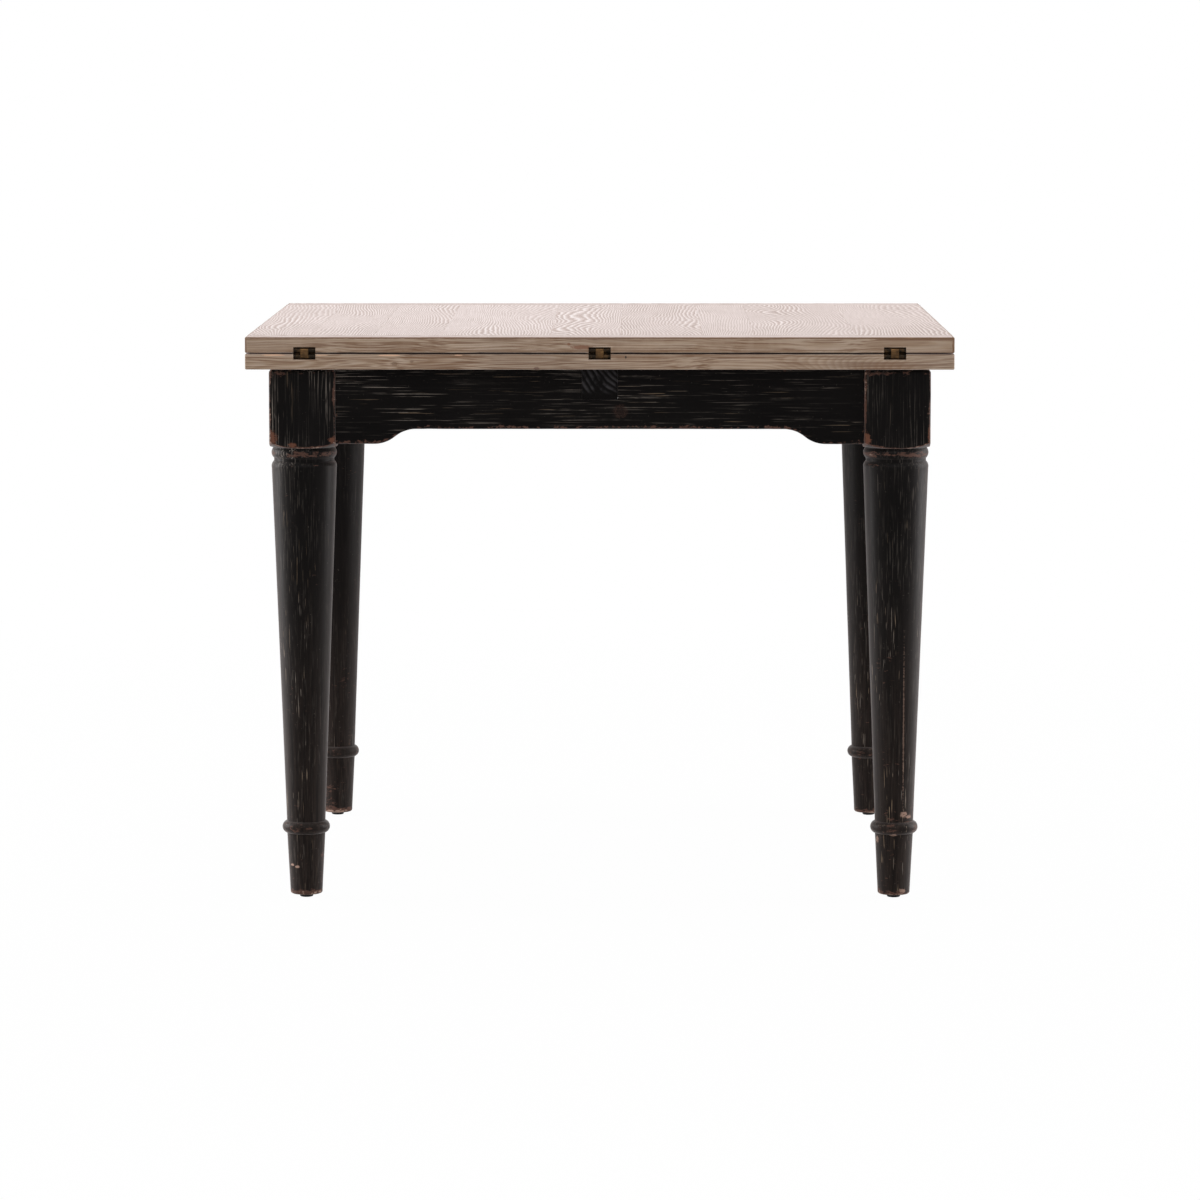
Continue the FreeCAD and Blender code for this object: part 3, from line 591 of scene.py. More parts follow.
@dataclass(frozen=True)
class BlackPaint:
    """Black paint over wood, brushed along the grain and rubbed through at the edges.

    Its marks change from left to right, between two places across the table in metres.
    """

    effects: Effects
    black: Colour = (0.0006, 0.0005, 0.0005, 1)
    charcoal: Colour = (0.0024, 0.0021, 0.0020, 1)
    brown: Colour = (0.024, 0.0165, 0.0135, 1)
    streak: Colour = (0.19, 0.165, 0.145, 1)
    scratch: Colour = (0.23, 0.165, 0.11, 1)
    thin: Colour = (0.095, 0.050, 0.038, 1)
    bare: Colour = (0.38, 0.255, 0.20, 1)
    ring: Colour = (0.046, 0.044, 0.047, 1)
    flat_gloss: float = 0.052
    turned_gloss: float = 0.07
    left: float = -0.42
    right: float = 0.42

    def make(self, name: str, grain: Grain, turned: bool = False, spots: Sequence[Spot] = ()) -> Material:
        """Builds the material.

        Args:
            name: Its name.
            grain: The way the wood runs.
            turned: Whether it is for legs, smoother and browner below their blocks.
            spots: Chips in the paint at set places.

        Returns:
            The material.
        """
        coat = Coat(name, grain)
        w = coat.w
        marks = coat.effect(self.effects.streaks, Density=0.04 if turned else 0.0)
        grit = (100.0, 250.0, 100.0) if turned else (170.0, 120.0, 170.0)
        rub = coat.effect(self.effects.rubbing, Wear=coat.mark("wear"), Grit=grit)
        film = coat.effect(self.effects.handling)
        x, y, z = w.split(coat.here)
        colour = w.mix(film["Film"], self.black, self.charcoal)
        lean = w.ramp(x, self.left, self.right, 1.3, 0.32 if turned else 0.16)
        scratches = w.times(marks["Scratches"], 0.8 if turned else 0.5)
        if turned:
            ridged = w.ramp(marks["Ridges"], 0.35, 0.65, 0.4, 1.4)
            share = w.times(w.ramp(z, 0.55, 0.04, 0.0, 0.62), ridged)
            colour = w.mix(share, colour, self.brown)
            lean = w.ramp(z, 0.60, 0.655, w.ramp(x, self.left, self.right, 0.16, 0.2), lean)
            low = w.ramp(x, self.left, self.right, 1.9, 2.4)
            scratches = w.times(scratches, w.ramp(z, 0.22, 0.5, low, 0.45))
            scratches = w.times(scratches, w.ramp(z, 0.075, 0.125, 0.3, 1.0))
            scratches = w.times(scratches, w.ramp(y, -0.1, 0.1, 1.0, 0.5))
        streaks = w.times(marks["Streaks"], lean)
        colour = w.mix(w.ramp(marks["Ridges"], 0.5, 0.72, 0.0, 0.01), colour, self.streak)
        warmth = w.mix(marks["Warmth"], self.streak, self.scratch)
        colour = w.mix(streaks, colour, self.streak)
        colour = w.mix(scratches, colour, warmth)
        colour = w.mix(w.times(film["Specks"], 0.22), colour, self.streak)
        colour = coat.spots(self.effects.spot, spots, colour, self.thin)
        coat.set(Specular_IOR_Level=self.turned_gloss if turned else self.flat_gloss)
        return self._rubbed(coat, colour, marks, rub, film)

    def make_end_grain(self, name: str, heart: Pair, spacing: float) -> Material:
        """Builds the material of a painted beam whose growth rings show through on its ends.

        Args:
            name: Its name.
            heart: Where the rings centre, across and up.
            spacing: How far apart they are.

        Returns:
            The material.
        """
        coat = Coat(name, Grain.ALONG_Y)
        w = coat.w
        marks = coat.effect(self.effects.streaks)
        rub = coat.effect(self.effects.rubbing, Wear=coat.mark("wear"), Amount=0.6)
        film = coat.effect(self.effects.handling, Size=3.0)
        x, _, z = w.split(coat.here)
        out = w.join(w.minus(x, heart[0] * MM), 0.0, w.minus(z, heart[1] * MM))
        wander = w.noise(coat.here, (36.0, 36.0, 36.0))
        radius = w.plus(w.vector("LENGTH", out), w.times(wander, 0.009))
        turn = w.math("FRACT", w.math("DIVIDE", radius, spacing * MM))
        late = w.times(w.ramp(turn, 0.15, 0.7), w.ramp(turn, 1.0, 0.75))
        broken = w.ramp(w.noise(coat.here, (60.0, 60.0, 60.0), 3.0, 0.6), 0.34, 0.58)
        broken = w.times(broken, w.ramp(z, 0.716, 0.728))
        colour = w.mix(film["Film"], self.black, self.charcoal)
        colour = w.mix(w.times(late, broken), colour, self.ring)
        colour = w.mix(w.times(film["Specks"], 0.2), colour, self.streak)
        coat.set(Specular_IOR_Level=self.flat_gloss)
        return self._rubbed(coat, colour, marks, rub, film)

    def _rubbed(self, coat: Coat, colour: Any, marks: Any, rub: Any, film: Any) -> Material:
        """Rubs the painted colour through and sets the gloss.

        Args:
            coat: The material.
            colour: The paint's colour.
            marks: The streaks' outputs.
            rub: The rubbing's outputs.
            film: The handling film's outputs.

        Returns:
            The finished material.
        """
        w = coat.w
        colour = w.mix(rub["Thin"], colour, self.thin)
        colour = w.mix(rub["Bare"], colour, self.bare)
        rough = w.plus(w.times(film["Film"], 0.12), 0.34)
        rough = w.plus(rough, w.times(rub["Thin"], 0.2))
        coat.set(Base_Color=colour, Roughness=rough, Specular_Tint=(1.0, 0.93, 0.93, 1))
        coat.set(Sheen_Weight=0.3, Sheen_Roughness=0.45, Sheen_Tint=(1.0, 0.89, 0.875, 1))
        worn = w.minus(marks["Ridges"], w.times(rub["Bare"], 0.8))
        coat.relief(worn, 0.3, 0.5)
        return coat.material


@dataclass(frozen=True)
class RawWood:
    """Planed softwood left without a finish, inside the frame."""

    effects: Effects
    pale: Colour = (0.50, 0.345, 0.195, 1)
    warm: Colour = (0.37, 0.225, 0.11, 1)
    line: Colour = (0.22, 0.118, 0.05, 1)
    knot: Colour = (0.1, 0.045, 0.02, 1)
    dust: Colour = (0.24, 0.19, 0.14, 1)

    def make(self, name: str, grain: Grain) -> Material:
        """Builds the material.

        Args:
            name: Its name.
            grain: The way the wood runs.

        Returns:
            The material.
        """
        coat = Coat(name, grain)
        w = coat.w
        figure = coat.effect(self.effects.figure, Rings=20.0, Knots=0.6, Curl=0.2)
        film = coat.effect(self.effects.handling, Size=1.4)
        colour = w.mix(figure["Fibre"], self.warm, self.pale)
        colour = w.mix(w.times(figure["Rings"], 0.7), colour, self.line)
        colour = w.mix(figure["Knots"], colour, self.knot)
        colour = w.mix(w.times(film["Film"], 0.3), colour, self.dust)
        coat.set(Base_Color=colour, Roughness=w.plus(w.times(figure["Fibre"], 0.2), 0.55))
        coat.relief(w.plus(figure["Fibre"], figure["Rings"]), 0.12, 0.5)
        return coat.material


@dataclass(frozen=True)
class AgedBrass:
    """Brass gone brown, with darker tarnish in patches."""

    effects: Effects
    bright: Colour = (0.26, 0.145, 0.06, 1)
    brown: Colour = (0.11, 0.056, 0.025, 1)
    dark: Colour = (0.02, 0.015, 0.011, 1)

    def make(self, name: str, tarnish_and_shade: float) -> Material:
        """Builds the material.

        Args:
            name: Its name.
            tarnish_and_shade: How much of it has gone dark, from tarnish and, on the hinge plates, also
                painted shade.

        Returns:
            The material.
        """
        coat = Coat(name)
        w = coat.w
        film = coat.effect(self.effects.handling, Size=9.0)
        brushed = w.noise(coat.here, (90.0, 900.0, 900.0), 2.0, 0.6)
        colour = w.mix(w.ramp(brushed, 0.3, 0.7), self.brown, self.bright)
        # Darkening from handling film and tarnish; on the hinge plates part of it is painted shade of their
        # recess.
        shade = w.math("ADD", w.times(film["Film"], 0.55), tarnish_and_shade, clamp=True)
        colour = w.mix(shade, colour, self.dark)
        rough = w.plus(w.times(shade, 0.22), 0.28)
        coat.set(Base_Color=colour, Metallic=1.0, Roughness=rough)
        coat.relief(w.plus(brushed, film["Specks"]), 0.03, 0.5)
        return coat.material


@dataclass(frozen=True)
class Steel:
    """Plain steel for fasteners, plated or browned."""

    effects: Effects
    bright: Colour
    dull: Colour

    def make(self, name: str) -> Material:
        """Builds the material.

        Args:
            name: Its name.

        Returns:
            The material.
        """
        coat = Coat(name)
        w = coat.w
        film = coat.effect(self.effects.handling, Size=14.0)
        grit = w.noise(coat.here, (1500.0, 1500.0, 1500.0), 2.0, 0.6)
        colour = w.mix(film["Film"], self.bright, self.dull)
        colour = w.mix(w.times(film["Specks"], 0.6), colour, self.dull)
        rough = w.plus(w.times(film["Film"], 0.2), 0.26)
        coat.set(Base_Color=colour, Metallic=1.0, Roughness=rough)
        coat.relief(grit, 0.02, 0.4)
        return coat.material


@dataclass(frozen=True)
class Plastic:
    """Moulded plastic, a little scuffed."""

    effects: Effects
    colour: Colour
    scuffed: Colour

    def make(self, name: str) -> Material:
        """Builds the material.

        Args:
            name: Its name.

        Returns:
            The material.
        """
        coat = Coat(name)
        w = coat.w
        film = coat.effect(self.effects.handling, Size=10.0)
        grit = w.noise(coat.here, (2200.0, 2200.0, 2200.0), 1.0)
        colour = w.mix(w.times(film["Film"], 0.6), self.colour, self.scuffed)
        coat.set(Base_Color=colour, Roughness=w.plus(w.times(film["Film"], 0.2), 0.45))
        coat.relief(grit, 0.02, 0.4)
        return coat.material


class Palette:
    """Every material of the table."""

    def __init__(self) -> None:
        """Builds the materials."""
        effects = Effects()
        pine = LimedPine(effects)
        paint = BlackPaint(effects)
        raw = RawWood(effects)
        brass = AgedBrass(effects)
        edge = -495.0
        brown, dark = (0.22, 0.082, 0.032, 1), (0.02, 0.014, 0.01, 1)
        orange_fleck_glint, grain = (0.80, 0.50, 0.33, 1), (0.20, 0.10, 0.045, 1)
        knotty = (0.16, 0.085, 0.045, 1)
        spots = (
            Spot((0.0, edge, 781.0), (400.0, 5.0, 2.2), grain, 0.5, 1.1),
            Spot((60.0, edge, 773.6), (380.0, 5.0, 1.8), grain, 0.35, 1.1),
            Spot((-26.0, edge, 786.0), (18.0, 8.0, 3.6), brown, 0.9, 1.3, 0.2),
            Spot((-43.0, edge, 790.5), (3.0, 8.0, 2.4), brown, 0.8, 0.9, 0.2),
            Spot((-286.0, edge, 763.0), (5.0, 9.0, 3.2), knotty, 0.55, 0.9, 0.8),
            Spot((-262.0, edge, 766.0), (3.0, 9.0, 2.0), knotty, 0.5, 0.9, 0.6),
            Spot((36.5, edge, 772.2), (1.5, 3.0, 2.3), dark, 0.95, 0.3),
            Spot((-88.0, edge, 756.8), (5.0, 6.0, 2.2), (0.12, 0.045, 0.025, 1), 0.75, 0.9),
            # Orange marks along the meeting arrises: bare flecks, and partly painted highlight where the
            # rounding catches the light.
            Spot((-455.0, edge, 775.0), (20.0, 5.0, 1.6), orange_fleck_glint, 0.8, 0.7),
            Spot((-388.0, edge, 774.9), (11.0, 5.0, 1.0), orange_fleck_glint, 0.7, 0.9),
            Spot((-294.0, edge, 774.6), (19.0, 5.0, 1.4), orange_fleck_glint, 0.9, 0.7),
            Spot((-197.0, edge, 774.9), (7.0, 5.0, 1.0), orange_fleck_glint, 0.8, 0.7),
            Spot((-470.0, edge, 777.9), (26.0, 5.0, 1.2), orange_fleck_glint, 0.6, 0.8),
        )
        self.planks = pine.make("limed_pine_planks", Grain.ALONG_Y, (34.0, 1.3, 215.0), 0.0)
        self.strips = pine.make("limed_pine_strips", Grain.ALONG_X, (130.0, 0.42, 0.0), 0.65, spots)
        face = -464.0
        red, tan = (0.185, 0.077, 0.048, 1), (0.42, 0.27, 0.21, 1)
        chips = (
            Spot((-463.0, face, 656.0), (11.0, 14.0, 13.0), red, 0.85, 1.9),
            Spot((-431.0, face, 646.5), (7.0, 14.0, 4.0), red, 0.8, 1.9),
            Spot((-373.0, face, 654.0), (9.0, 14.0, 5.0), red, 0.8, 1.8),
            Spot((373.0, face, 655.0), (8.0, 14.0, 11.0), red, 0.85, 1.9),
            Spot((371.5, face, 700.0), (3.0, 12.0, 26.0), red, 0.75, 1.6),
            Spot((463.0, face, 662.0), (3.4, 12.0, 16.0), red, 0.75, 1.6),
            Spot((-436.5, -434.5, 47.5), (3.4, 9.0, 2.0), tan, 0.9, 1.5),
            Spot((-429.0, -438.5, 45.5), (4.0, 9.0, 2.2), tan, 0.9, 1.5),
            Spot((430.0, -441.0, 121.0), (6.5, 9.0, 5.0), tan, 0.7, 2.2),
            Spot((437.0, -437.0, 117.5), (5.0, 9.0, 3.0), tan, 0.7, 2.0),
            Spot((416.0, -443.0, 92.5), (6.0, 9.0, 2.2), tan, 0.6, 2.0),
            Spot((394.0, -427.0, 84.0), (2.6, 8.0, 6.0), tan, 0.6, 1.8),
            Spot((429.0, -439.0, 11.0), (6.0, 9.0, 4.0), tan, 0.6, 1.9),
            Spot((428.9, -446.5, 250.0), (1.1, 16.0, 125.0), tan, 0.3, 3.4),
        )
        self.legs = paint.make("black_paint_legs", Grain.ALONG_Z, True, chips)
        knot = Spot((29.0, -458.0, 694.0), (7.5, 9.0, 7.0), (0.003, 0.0025, 0.0025, 1), 0.5, 1.6, 0.75)
        self.cross_aprons = paint.make("black_paint_cross", Grain.ALONG_X, spots=(knot,))
        self.side_aprons = paint.make("black_paint_sides", Grain.ALONG_Y)
        self.beam = paint.make_end_grain("black_paint_beam", (66.0, 794.0), 7.2)
        self.rails = raw.make("raw_wood_rails", Grain.ALONG_Y)
        self.braces = raw.make("raw_wood_braces", Grain.ALONG_X)
        # The plates are darkened more than the links: tarnish plus painted shade of the hinge recess.
        self.links = brass.make("aged_brass_links", 0.3)
        self.plates = brass.make("aged_brass_plates", 0.72)
        self.zinc = Steel(effects, (0.55, 0.55, 0.54, 1), (0.32, 0.32, 0.33, 1)).make("zinc_steel")
        self.browned = Steel(effects, (0.09, 0.075, 0.06, 1), (0.03, 0.025, 0.02, 1)).make("browned_steel")
        self.nylon = Plastic(effects, (0.018, 0.018, 0.018, 1), (0.06, 0.06, 0.058, 1)).make("nylon")
        moulded = Plastic(effects, (0.011, 0.011, 0.011, 1), (0.045, 0.043, 0.04, 1))
        self.glides = moulded.make("glide_plastic")


# Mesh work


def drift(rng: np.random.Generator, along: np.ndarray, spacing: float) -> np.ndarray:
    """A smooth random line from -1 to 1.

    Args:
        rng: The source of chance.
        along: Where it is wanted, in millimetres.
        spacing: How far apart its turns are.

    Returns:
        One value for each place.
    """
    start = along.min() - spacing
    count = int((along.max() - start) / spacing) + 3
    knots = start + spacing * np.arange(count)
    fine = np.interp(along, knots, rng.uniform(-1, 1, count))
    width = np.interp(along, knots + spacing / 2, rng.uniform(-1, 1, count))
    return (fine + width) / 2


def opened(mesh: bpy.types.Mesh) -> bmesh.types.BMesh:
    """Opens a mesh for work and closes its doubles.

    Args:
        mesh: The mesh.

    Returns:
        The opened mesh.
    """
    work = bmesh.new()
    work.from_mesh(mesh)
    bmesh.ops.remove_doubles(work, verts=work.verts, dist=WELD)
    return work


def new_object(name: str, data: Any) -> Piece:
    """Puts a mesh, a lamp or a camera into the scene.

    Args:
        name: The object's name.
        data: What it shows.

    Returns:
        The object.
    """
    item = bpy.data.objects.new(name, data)
    bpy.context.scene.collection.objects.link(item)
    return item


def finish_mesh(piece: Piece, sharp: float = 34.0) -> Piece:
    """Closes doubles, points the faces outward and shades the piece smooth but for its sharp edges.

    Args:
        piece: The piece.
        sharp: The angle past which an edge is sharp, in degrees.

    Returns:
        The same piece.
    """
    work = opened(piece.data)
    bmesh.ops.recalc_face_normals(work, faces=work.faces)
    limit = math.radians(sharp)
    for face in work.faces:
        face.smooth = True
    for edge in work.edges:
        edge.smooth = len(edge.link_faces) == 2 and edge.calc_face_angle(0.0) < limit
    work.to_mesh(piece.data)
    work.free()
    return piece


def new_piece(
    name: str,
    points: Any,
    faces: Sequence[Sequence[int]] = (),
    marks: dict[str, np.ndarray] | None = None,
    material: Material | None = None,
    edges: Sequence[Sequence[int]] = (),
) -> Piece:
    """Makes an object.

    Args:
        name: Its name.
        points: Its points, in millimetres.
        faces: Its faces, as numbers of points.
        marks: Numbers kept on its points, by name.
        material: Its material.
        edges: Its edges apart from those of the faces, as numbers of points.

    Returns:
        The object.
    """
    mesh = bpy.data.meshes.new(name)
    mesh.from_pydata((np.asarray(points, float) * MM).tolist(), edges, faces)
    for label, values in (marks or {}).items():
        mark = mesh.attributes.new(label, "FLOAT", "POINT")
        mark.data.foreach_set("value", np.asarray(values, np.float32))
    if material:
        mesh.materials.append(material)
    return new_object(name, mesh)


def loft_faces(rings: int, count: int) -> list[list[int]]:
    """Faces of a tube of rings with both ends closed.

    Args:
        rings: How many rings there are.
        count: How many points each ring has.

    Returns:
        The faces.
    """
    faces = []
    for ring in range(rings - 1):
        for at in range(count):
            here, there = ring * count + at, ring * count + (at + 1) % count
            faces.append([here, there, there + count, here + count])
    faces.append(list(range(count))[::-1])
    faces.append(list(range((rings - 1) * count, rings * count)))
    return faces


def bake(piece: Piece) -> Piece:
    """Turns a piece with modifiers into a plain mesh.

    Args:
        piece: The piece.

    Returns:
        The same piece, with no modifiers left.
    """
    bpy.context.view_layer.update()
    graph = bpy.context.evaluated_depsgraph_get()
    mesh = bpy.data.meshes.new_from_object(piece.evaluated_get(graph), depsgraph=graph)
    piece.modifiers.clear()
    old = piece.data
    piece.data = mesh
    bpy.data.meshes.remove(old)
    mesh.name = piece.name
    return piece


def box_cutter(name: str, boxes: Sequence[tuple[Sequence[float], Sequence[float]]]) -> Piece:
    """Boxes to cut with.

    Args:
        name: The cutter's name.
        boxes: Lowest and highest corners, in millimetres.

    Returns:
        The cutter.
    """
    points = []
    faces = []
    for low, high in boxes:
        base = len(points)
        across, back, up = zip(low, high)
        points += [[x, y, z] for z in up for y in back for x in across]
        for corners in ((0, 2, 3, 1), (4, 5, 7, 6), (0, 1, 5, 4), (2, 6, 7, 3), (0, 4, 6, 2), (1, 3, 7, 5)):
            faces.append([base + c for c in corners])
    return new_piece(name, points, faces)


def cut_away(
    piece: Piece, cutters: Sequence[Piece], board: float | None = None
) -> Piece:
    """Cuts a piece with others, which are then gone.

    Args:
        piece: The piece.
        cutters: What is cut out of it.
        board: The piece's own board mark, if it has one, which its new points get too.

    Returns:
        The same piece.
    """
    for cutter in cutters:
        step = piece.modifiers.new("cut", "BOOLEAN")
        step.operation = "DIFFERENCE"
        step.solver = "EXACT"
        step.object = cutter
        bake(piece)
        bpy.data.objects.remove(cutter)
    if board is not None:
        marks = piece.data.attributes["board"].data
        marks.foreach_set("value", np.full(len(marks), board, np.float32))
    return piece


@dataclass
class Bar:
    """A straight length of wood with eased and worn arrises, lofted along its grain.

    Its section lies across the grain: u is the first of the two other axes and v the second. The four
    arrises are listed round the section from low u and low v, by way of high u. Wear, and the painted
    shade of the gap between two leaves, fade out over two distances from an arris, and the waves are how
    far apart its changes are.
    """

    low: Triple
    high: Triple
    grain: Grain
    eases: tuple[float, float, float, float] = (1.0, 1.0, 1.0, 1.0)
    worn: tuple[float, float, float, float] = (1.0, 1.0, 1.0, 1.0)
    # Painted shade of the gap between the leaves, one value for each arris.
    gap_shaded_arrises: tuple[float, float, float, float] = (0.0, 0.0, 0.0, 0.0)
    end_ease: float = 0.8
    step: float = 9.0
    unevenness: float = 0.35
    waviness: float = 0.0
    chips: int = 0
    seed: int = 1
    board: float = 0.0
    tone: float = 0.0
    side_lime_and_light: float = 0.0
    fade_near: float = 3.0
    fade_far: float = 9.0
    long_wave: float = 130.0
    worn_wave: float = 42.0
    fine_wave: float = 11.0
    extra: tuple[float, ...] = ()
    floor: Callable[[np.ndarray], np.ndarray] | None = None
    turns: int = 5
    middles: tuple[int, int] = (4, 2)

    def _stations(self) -> tuple[np.ndarray, np.ndarray, np.ndarray]:
        """Sets out the sections along the grain.

        Returns:
            Their places, how far each is drawn in, and the wear of the ends.
        """
        axis = self.grain.value
        start, end = self.low[axis], self.high[axis]
        ease, near, far = self.end_ease, self.fade_near, self.fade_far
        head = [(0.0, ease + far, 0.0), (0.0, ease + near, 0.4), (0.0, ease, 1.0)]
        head += [(0.3 * ease, 0.3 * ease, 1.0), (ease, 0.0, 0.9)]
        head += [(ease + near, 0.0, 0.35), (ease + far, 0.0, 0.0)]
        count = max(2, int((end - start - 2 * ease - 2 * far) / self.step))
        inner = set(np.linspace(start + ease + far, end - ease - far, count + 1)[1:-1].round(3))
        inner |= {e for e in self.extra if start + ease + far + 1 < e < end - ease - far - 1}
        along = [start + h[0] for h in head] + sorted(inner) + [end - h[0] for h in reversed(head)]
        inset = [h[1] for h in head] + [0.0] * len(inner) + [h[1] for h in reversed(head)]
        wear = [h[2] for h in head] + [0.0] * len(inner) + [h[2] for h in reversed(head)]
        return np.array(along), np.array(inset), np.array(wear)

    def build(self, name: str, material: Material) -> Piece:
        """Makes the bar.

        Args:
            name: The piece's name.
            material: Its material.

        Returns:
            The piece.
        """
        rng = np.random.default_rng(self.seed)
        across, up = [i for i in range(3) if i != self.grain.value]
        along, inset, end_wear = self._stations()
        rings = len(along)
        u0 = np.full(rings, self.low[across]) + self.waviness * (1 + drift(rng, along, self.long_wave)) / 2
        u1 = np.full(rings, self.high[across]) - self.waviness * (1 + drift(rng, along, self.long_wave)) / 2
        v0 = self.floor(along) if self.floor else np.full(rings, self.low[up])
        v1 = np.full(rings, self.high[up])
        room = np.minimum(u1 - u0, v1 - v0) / 2 - 0.3
        inset = np.minimum(inset, room - 0.3)
        u0, u1, v0, v1 = u0 + inset, u1 - inset, v0 + inset, v1 - inset
        room = np.minimum(u1 - u0, v1 - v0) / 2 - 0.05
        radii = []
        for ease in self.eases:
            broad = self.unevenness * drift(rng, along, self.worn_wave)
            fine = self.unevenness * drift(rng, along, self.fine_wave) * 0.6
            radius = ease * (1 + broad + fine)
            for _ in range(self.chips):
                place = rng.uniform(along[0], along[-1])
                size = rng.uniform(0.3, 1.0)
                spread = rng.uniform(3, 9)
                radius = radius + ease * size * np.exp(-((along - place) / spread) ** 2)
            radii.append(np.clip(radius, 0.08, room))
        ring_points, ring_wear, ring_face_lime_and_light, ring_gap_shade = [], [], [], []
        centres = [(u0, v0, 1, 1), (u1, v0, -1, 1), (u1, v1, -1, -1), (u0, v1, 1, -1)]
        for corner in range(4):
            cu, cv, su, sv = centres[corner]
            radius = radii[corner]
            for angle in math.pi + math.pi / 2 * corner + np.linspace(0, math.pi / 2, self.turns):
                du = cu + su * radius + radius * math.cos(angle)
                dv = cv + sv * radius + radius * math.sin(angle)
                ring_points.append((du, dv))
                ring_wear.append(self.worn[corner])
                level = abs(math.sin(angle))
                # The limed mark is 1 on the broad faces, whose paler colour is partly painted light.
                ring_face_lime_and_light.append(max(self.side_lime_and_light, (level - 0.5) / 0.5))
                # Painted shade of the gap on the part of the arc that faces the other leaf.
                ring_gap_shade.append(self.gap_shaded_arrises[corner] * max(0.0, (level - 0.4) / 0.6))
            follow = (corner + 1) % 4
            nu, nv, tu, tv = centres[follow]
            after = radii[follow]
            flat = corner % 2 == 0
            pu, pv = ring_points[-1]
            qu = nu + tu * after if flat else nu
            qv = nv if flat else nv + tv * after
            length = np.hypot(qu - pu, qv - pv)
            near = np.minimum(self.fade_near, 0.2 * length) / length
            far = np.minimum(self.fade_far, 0.42 * length) / length
            middle = self.middles[corner % 2]
            inner = [far + (1 - 2 * far) * (k + 1) / (middle + 1) for k in range(middle)]
            shares = [near, far] + inner + [1 - far, 1 - near]
            kept = 0.2 if flat else 0.3
            wears = [kept * self.worn[corner]] + [0.0] * (middle + 2) + [kept * self.worn[follow]]
            # The gap's painted shade reaches a little onto the flat face beside a shaded arris.
            first, last = (self.gap_shaded_arrises[corner], self.gap_shaded_arrises[follow]) if flat else (0.0, 0.0)
            gap_shades = [0.5 * first, 0.08 * first] + [0.0] * middle + [0.08 * last, 0.5 * last]
            for share, wear, gap_shade_level in zip(shares, wears, gap_shades):
                ring_points.append((pu + (qu - pu) * share, pv + (qv - pv) * share))
                ring_wear.append(wear)
                ring_face_lime_and_light.append(1.0 if flat else self.side_lime_and_light)
                ring_gap_shade.append(gap_shade_level)
        count = len(ring_points)
        points = np.zeros((rings, count, 3))
        points[:, :, self.grain.value] = along[:, None]
        points[:, :, across] = np.stack([p[0] for p in ring_points], 1)
        points[:, :, up] = np.stack([p[1] for p in ring_points], 1)
        wear = np.maximum(np.array(ring_wear)[None, :], end_wear[:, None] * max(self.worn))
        wear[inset > self.end_ease + 5] = 0.0
        limed = np.tile(ring_face_lime_and_light, (rings, 1))
        limed[inset > 0.4 * self.end_ease] = 0.0
        grime = np.tile(ring_gap_shade, (rings, 1))
        grime[inset > 0.4 * self.end_ease] = 0.0
        marks = {
            "wear": wear.ravel(),
            "limed": limed.ravel(),
            "grime": grime.ravel(),
            "board": np.full(rings * count, self.board),
            "tone": np.full(rings * count, self.tone),
        }
        piece = new_piece(name, points.reshape(-1, 3), loft_faces(rings, count), marks, material)
        return finish_mesh(piece)


def lathe(profile: Sequence[Pair], sides: int) -> tuple[np.ndarray, list[list[int]]]:
    """Turns a profile about the Z axis.

    Args:
        profile: Radii and heights from one end on the axis to the other.
        sides: How many sides the turning has.

    Returns:
        The points and the faces.
    """
    turns = np.arange(sides) * TAU / sides
    inner = profile[1:-1]
    points = [[r * math.cos(t), r * math.sin(t), z] for r, z in inner for t in turns]
    points += [[0, 0, profile[0][1]], [0, 0, profile[-1][1]]]
    faces = loft_faces(len(inner), sides)[:-2]
    last = (len(inner) - 1) * sides
    for at in range(sides):
        nxt = (at + 1) % sides
        faces.append([nxt, at, len(points) - 2])
        faces.append([last + at, last + nxt, len(points) - 1])
    return np.array(points), faces


def softened_copy(name: str, node: str, ease: float, material: Material) -> Piece:
    """A copy of a CAD node with its sharp edges eased.

    Args:
        name: The copy's name.
        node: The node.
        ease: The width of the easing, in millimetres.
        material: The copy's material.

    Returns:
        The copy.
    """
    mesh = frame["nodes"][node].data.copy()
    mesh.name = name
    work = opened(mesh)
    bmesh.ops.dissolve_limit(work, angle_limit=LEVEL, verts=work.verts, edges=work.edges)
    sharp = [e for e in work.edges if len(e.link_faces) == 2 and e.calc_face_angle(0.0) > CREASE]
    bmesh.ops.bevel(
        work, geom=sharp, offset=ease * MM, segments=2, profile=0.6, affect="EDGES", clamp_overlap=True
    )
    work.to_mesh(mesh)
    work.free()
    mesh.materials.clear()
    mesh.materials.append(material)
    return finish_mesh(new_object(name, mesh))


def separate_solids(node: str) -> list[np.ndarray]:
    """The points of each separate solid in a CAD node.

    Args:
        node: The node.

    Returns:
        One array of points for each solid, in millimetres.
    """
    work = opened(frame["nodes"][node].data)
    left = set(work.verts)
    solids = []
    while left:
        heap = [left.pop()]
        found = []
        while heap:
            vert = heap.pop()
            found.append(vert.co[:])
            for edge in vert.link_edges:
                other = edge.other_vert(vert)
                if other in left:
                    left.discard(other)
                    heap.append(other)
        solids.append(np.array(found) / MM)
    work.free()
    return sorted(solids, key=lambda s: tuple(s.mean(0).round(2)))


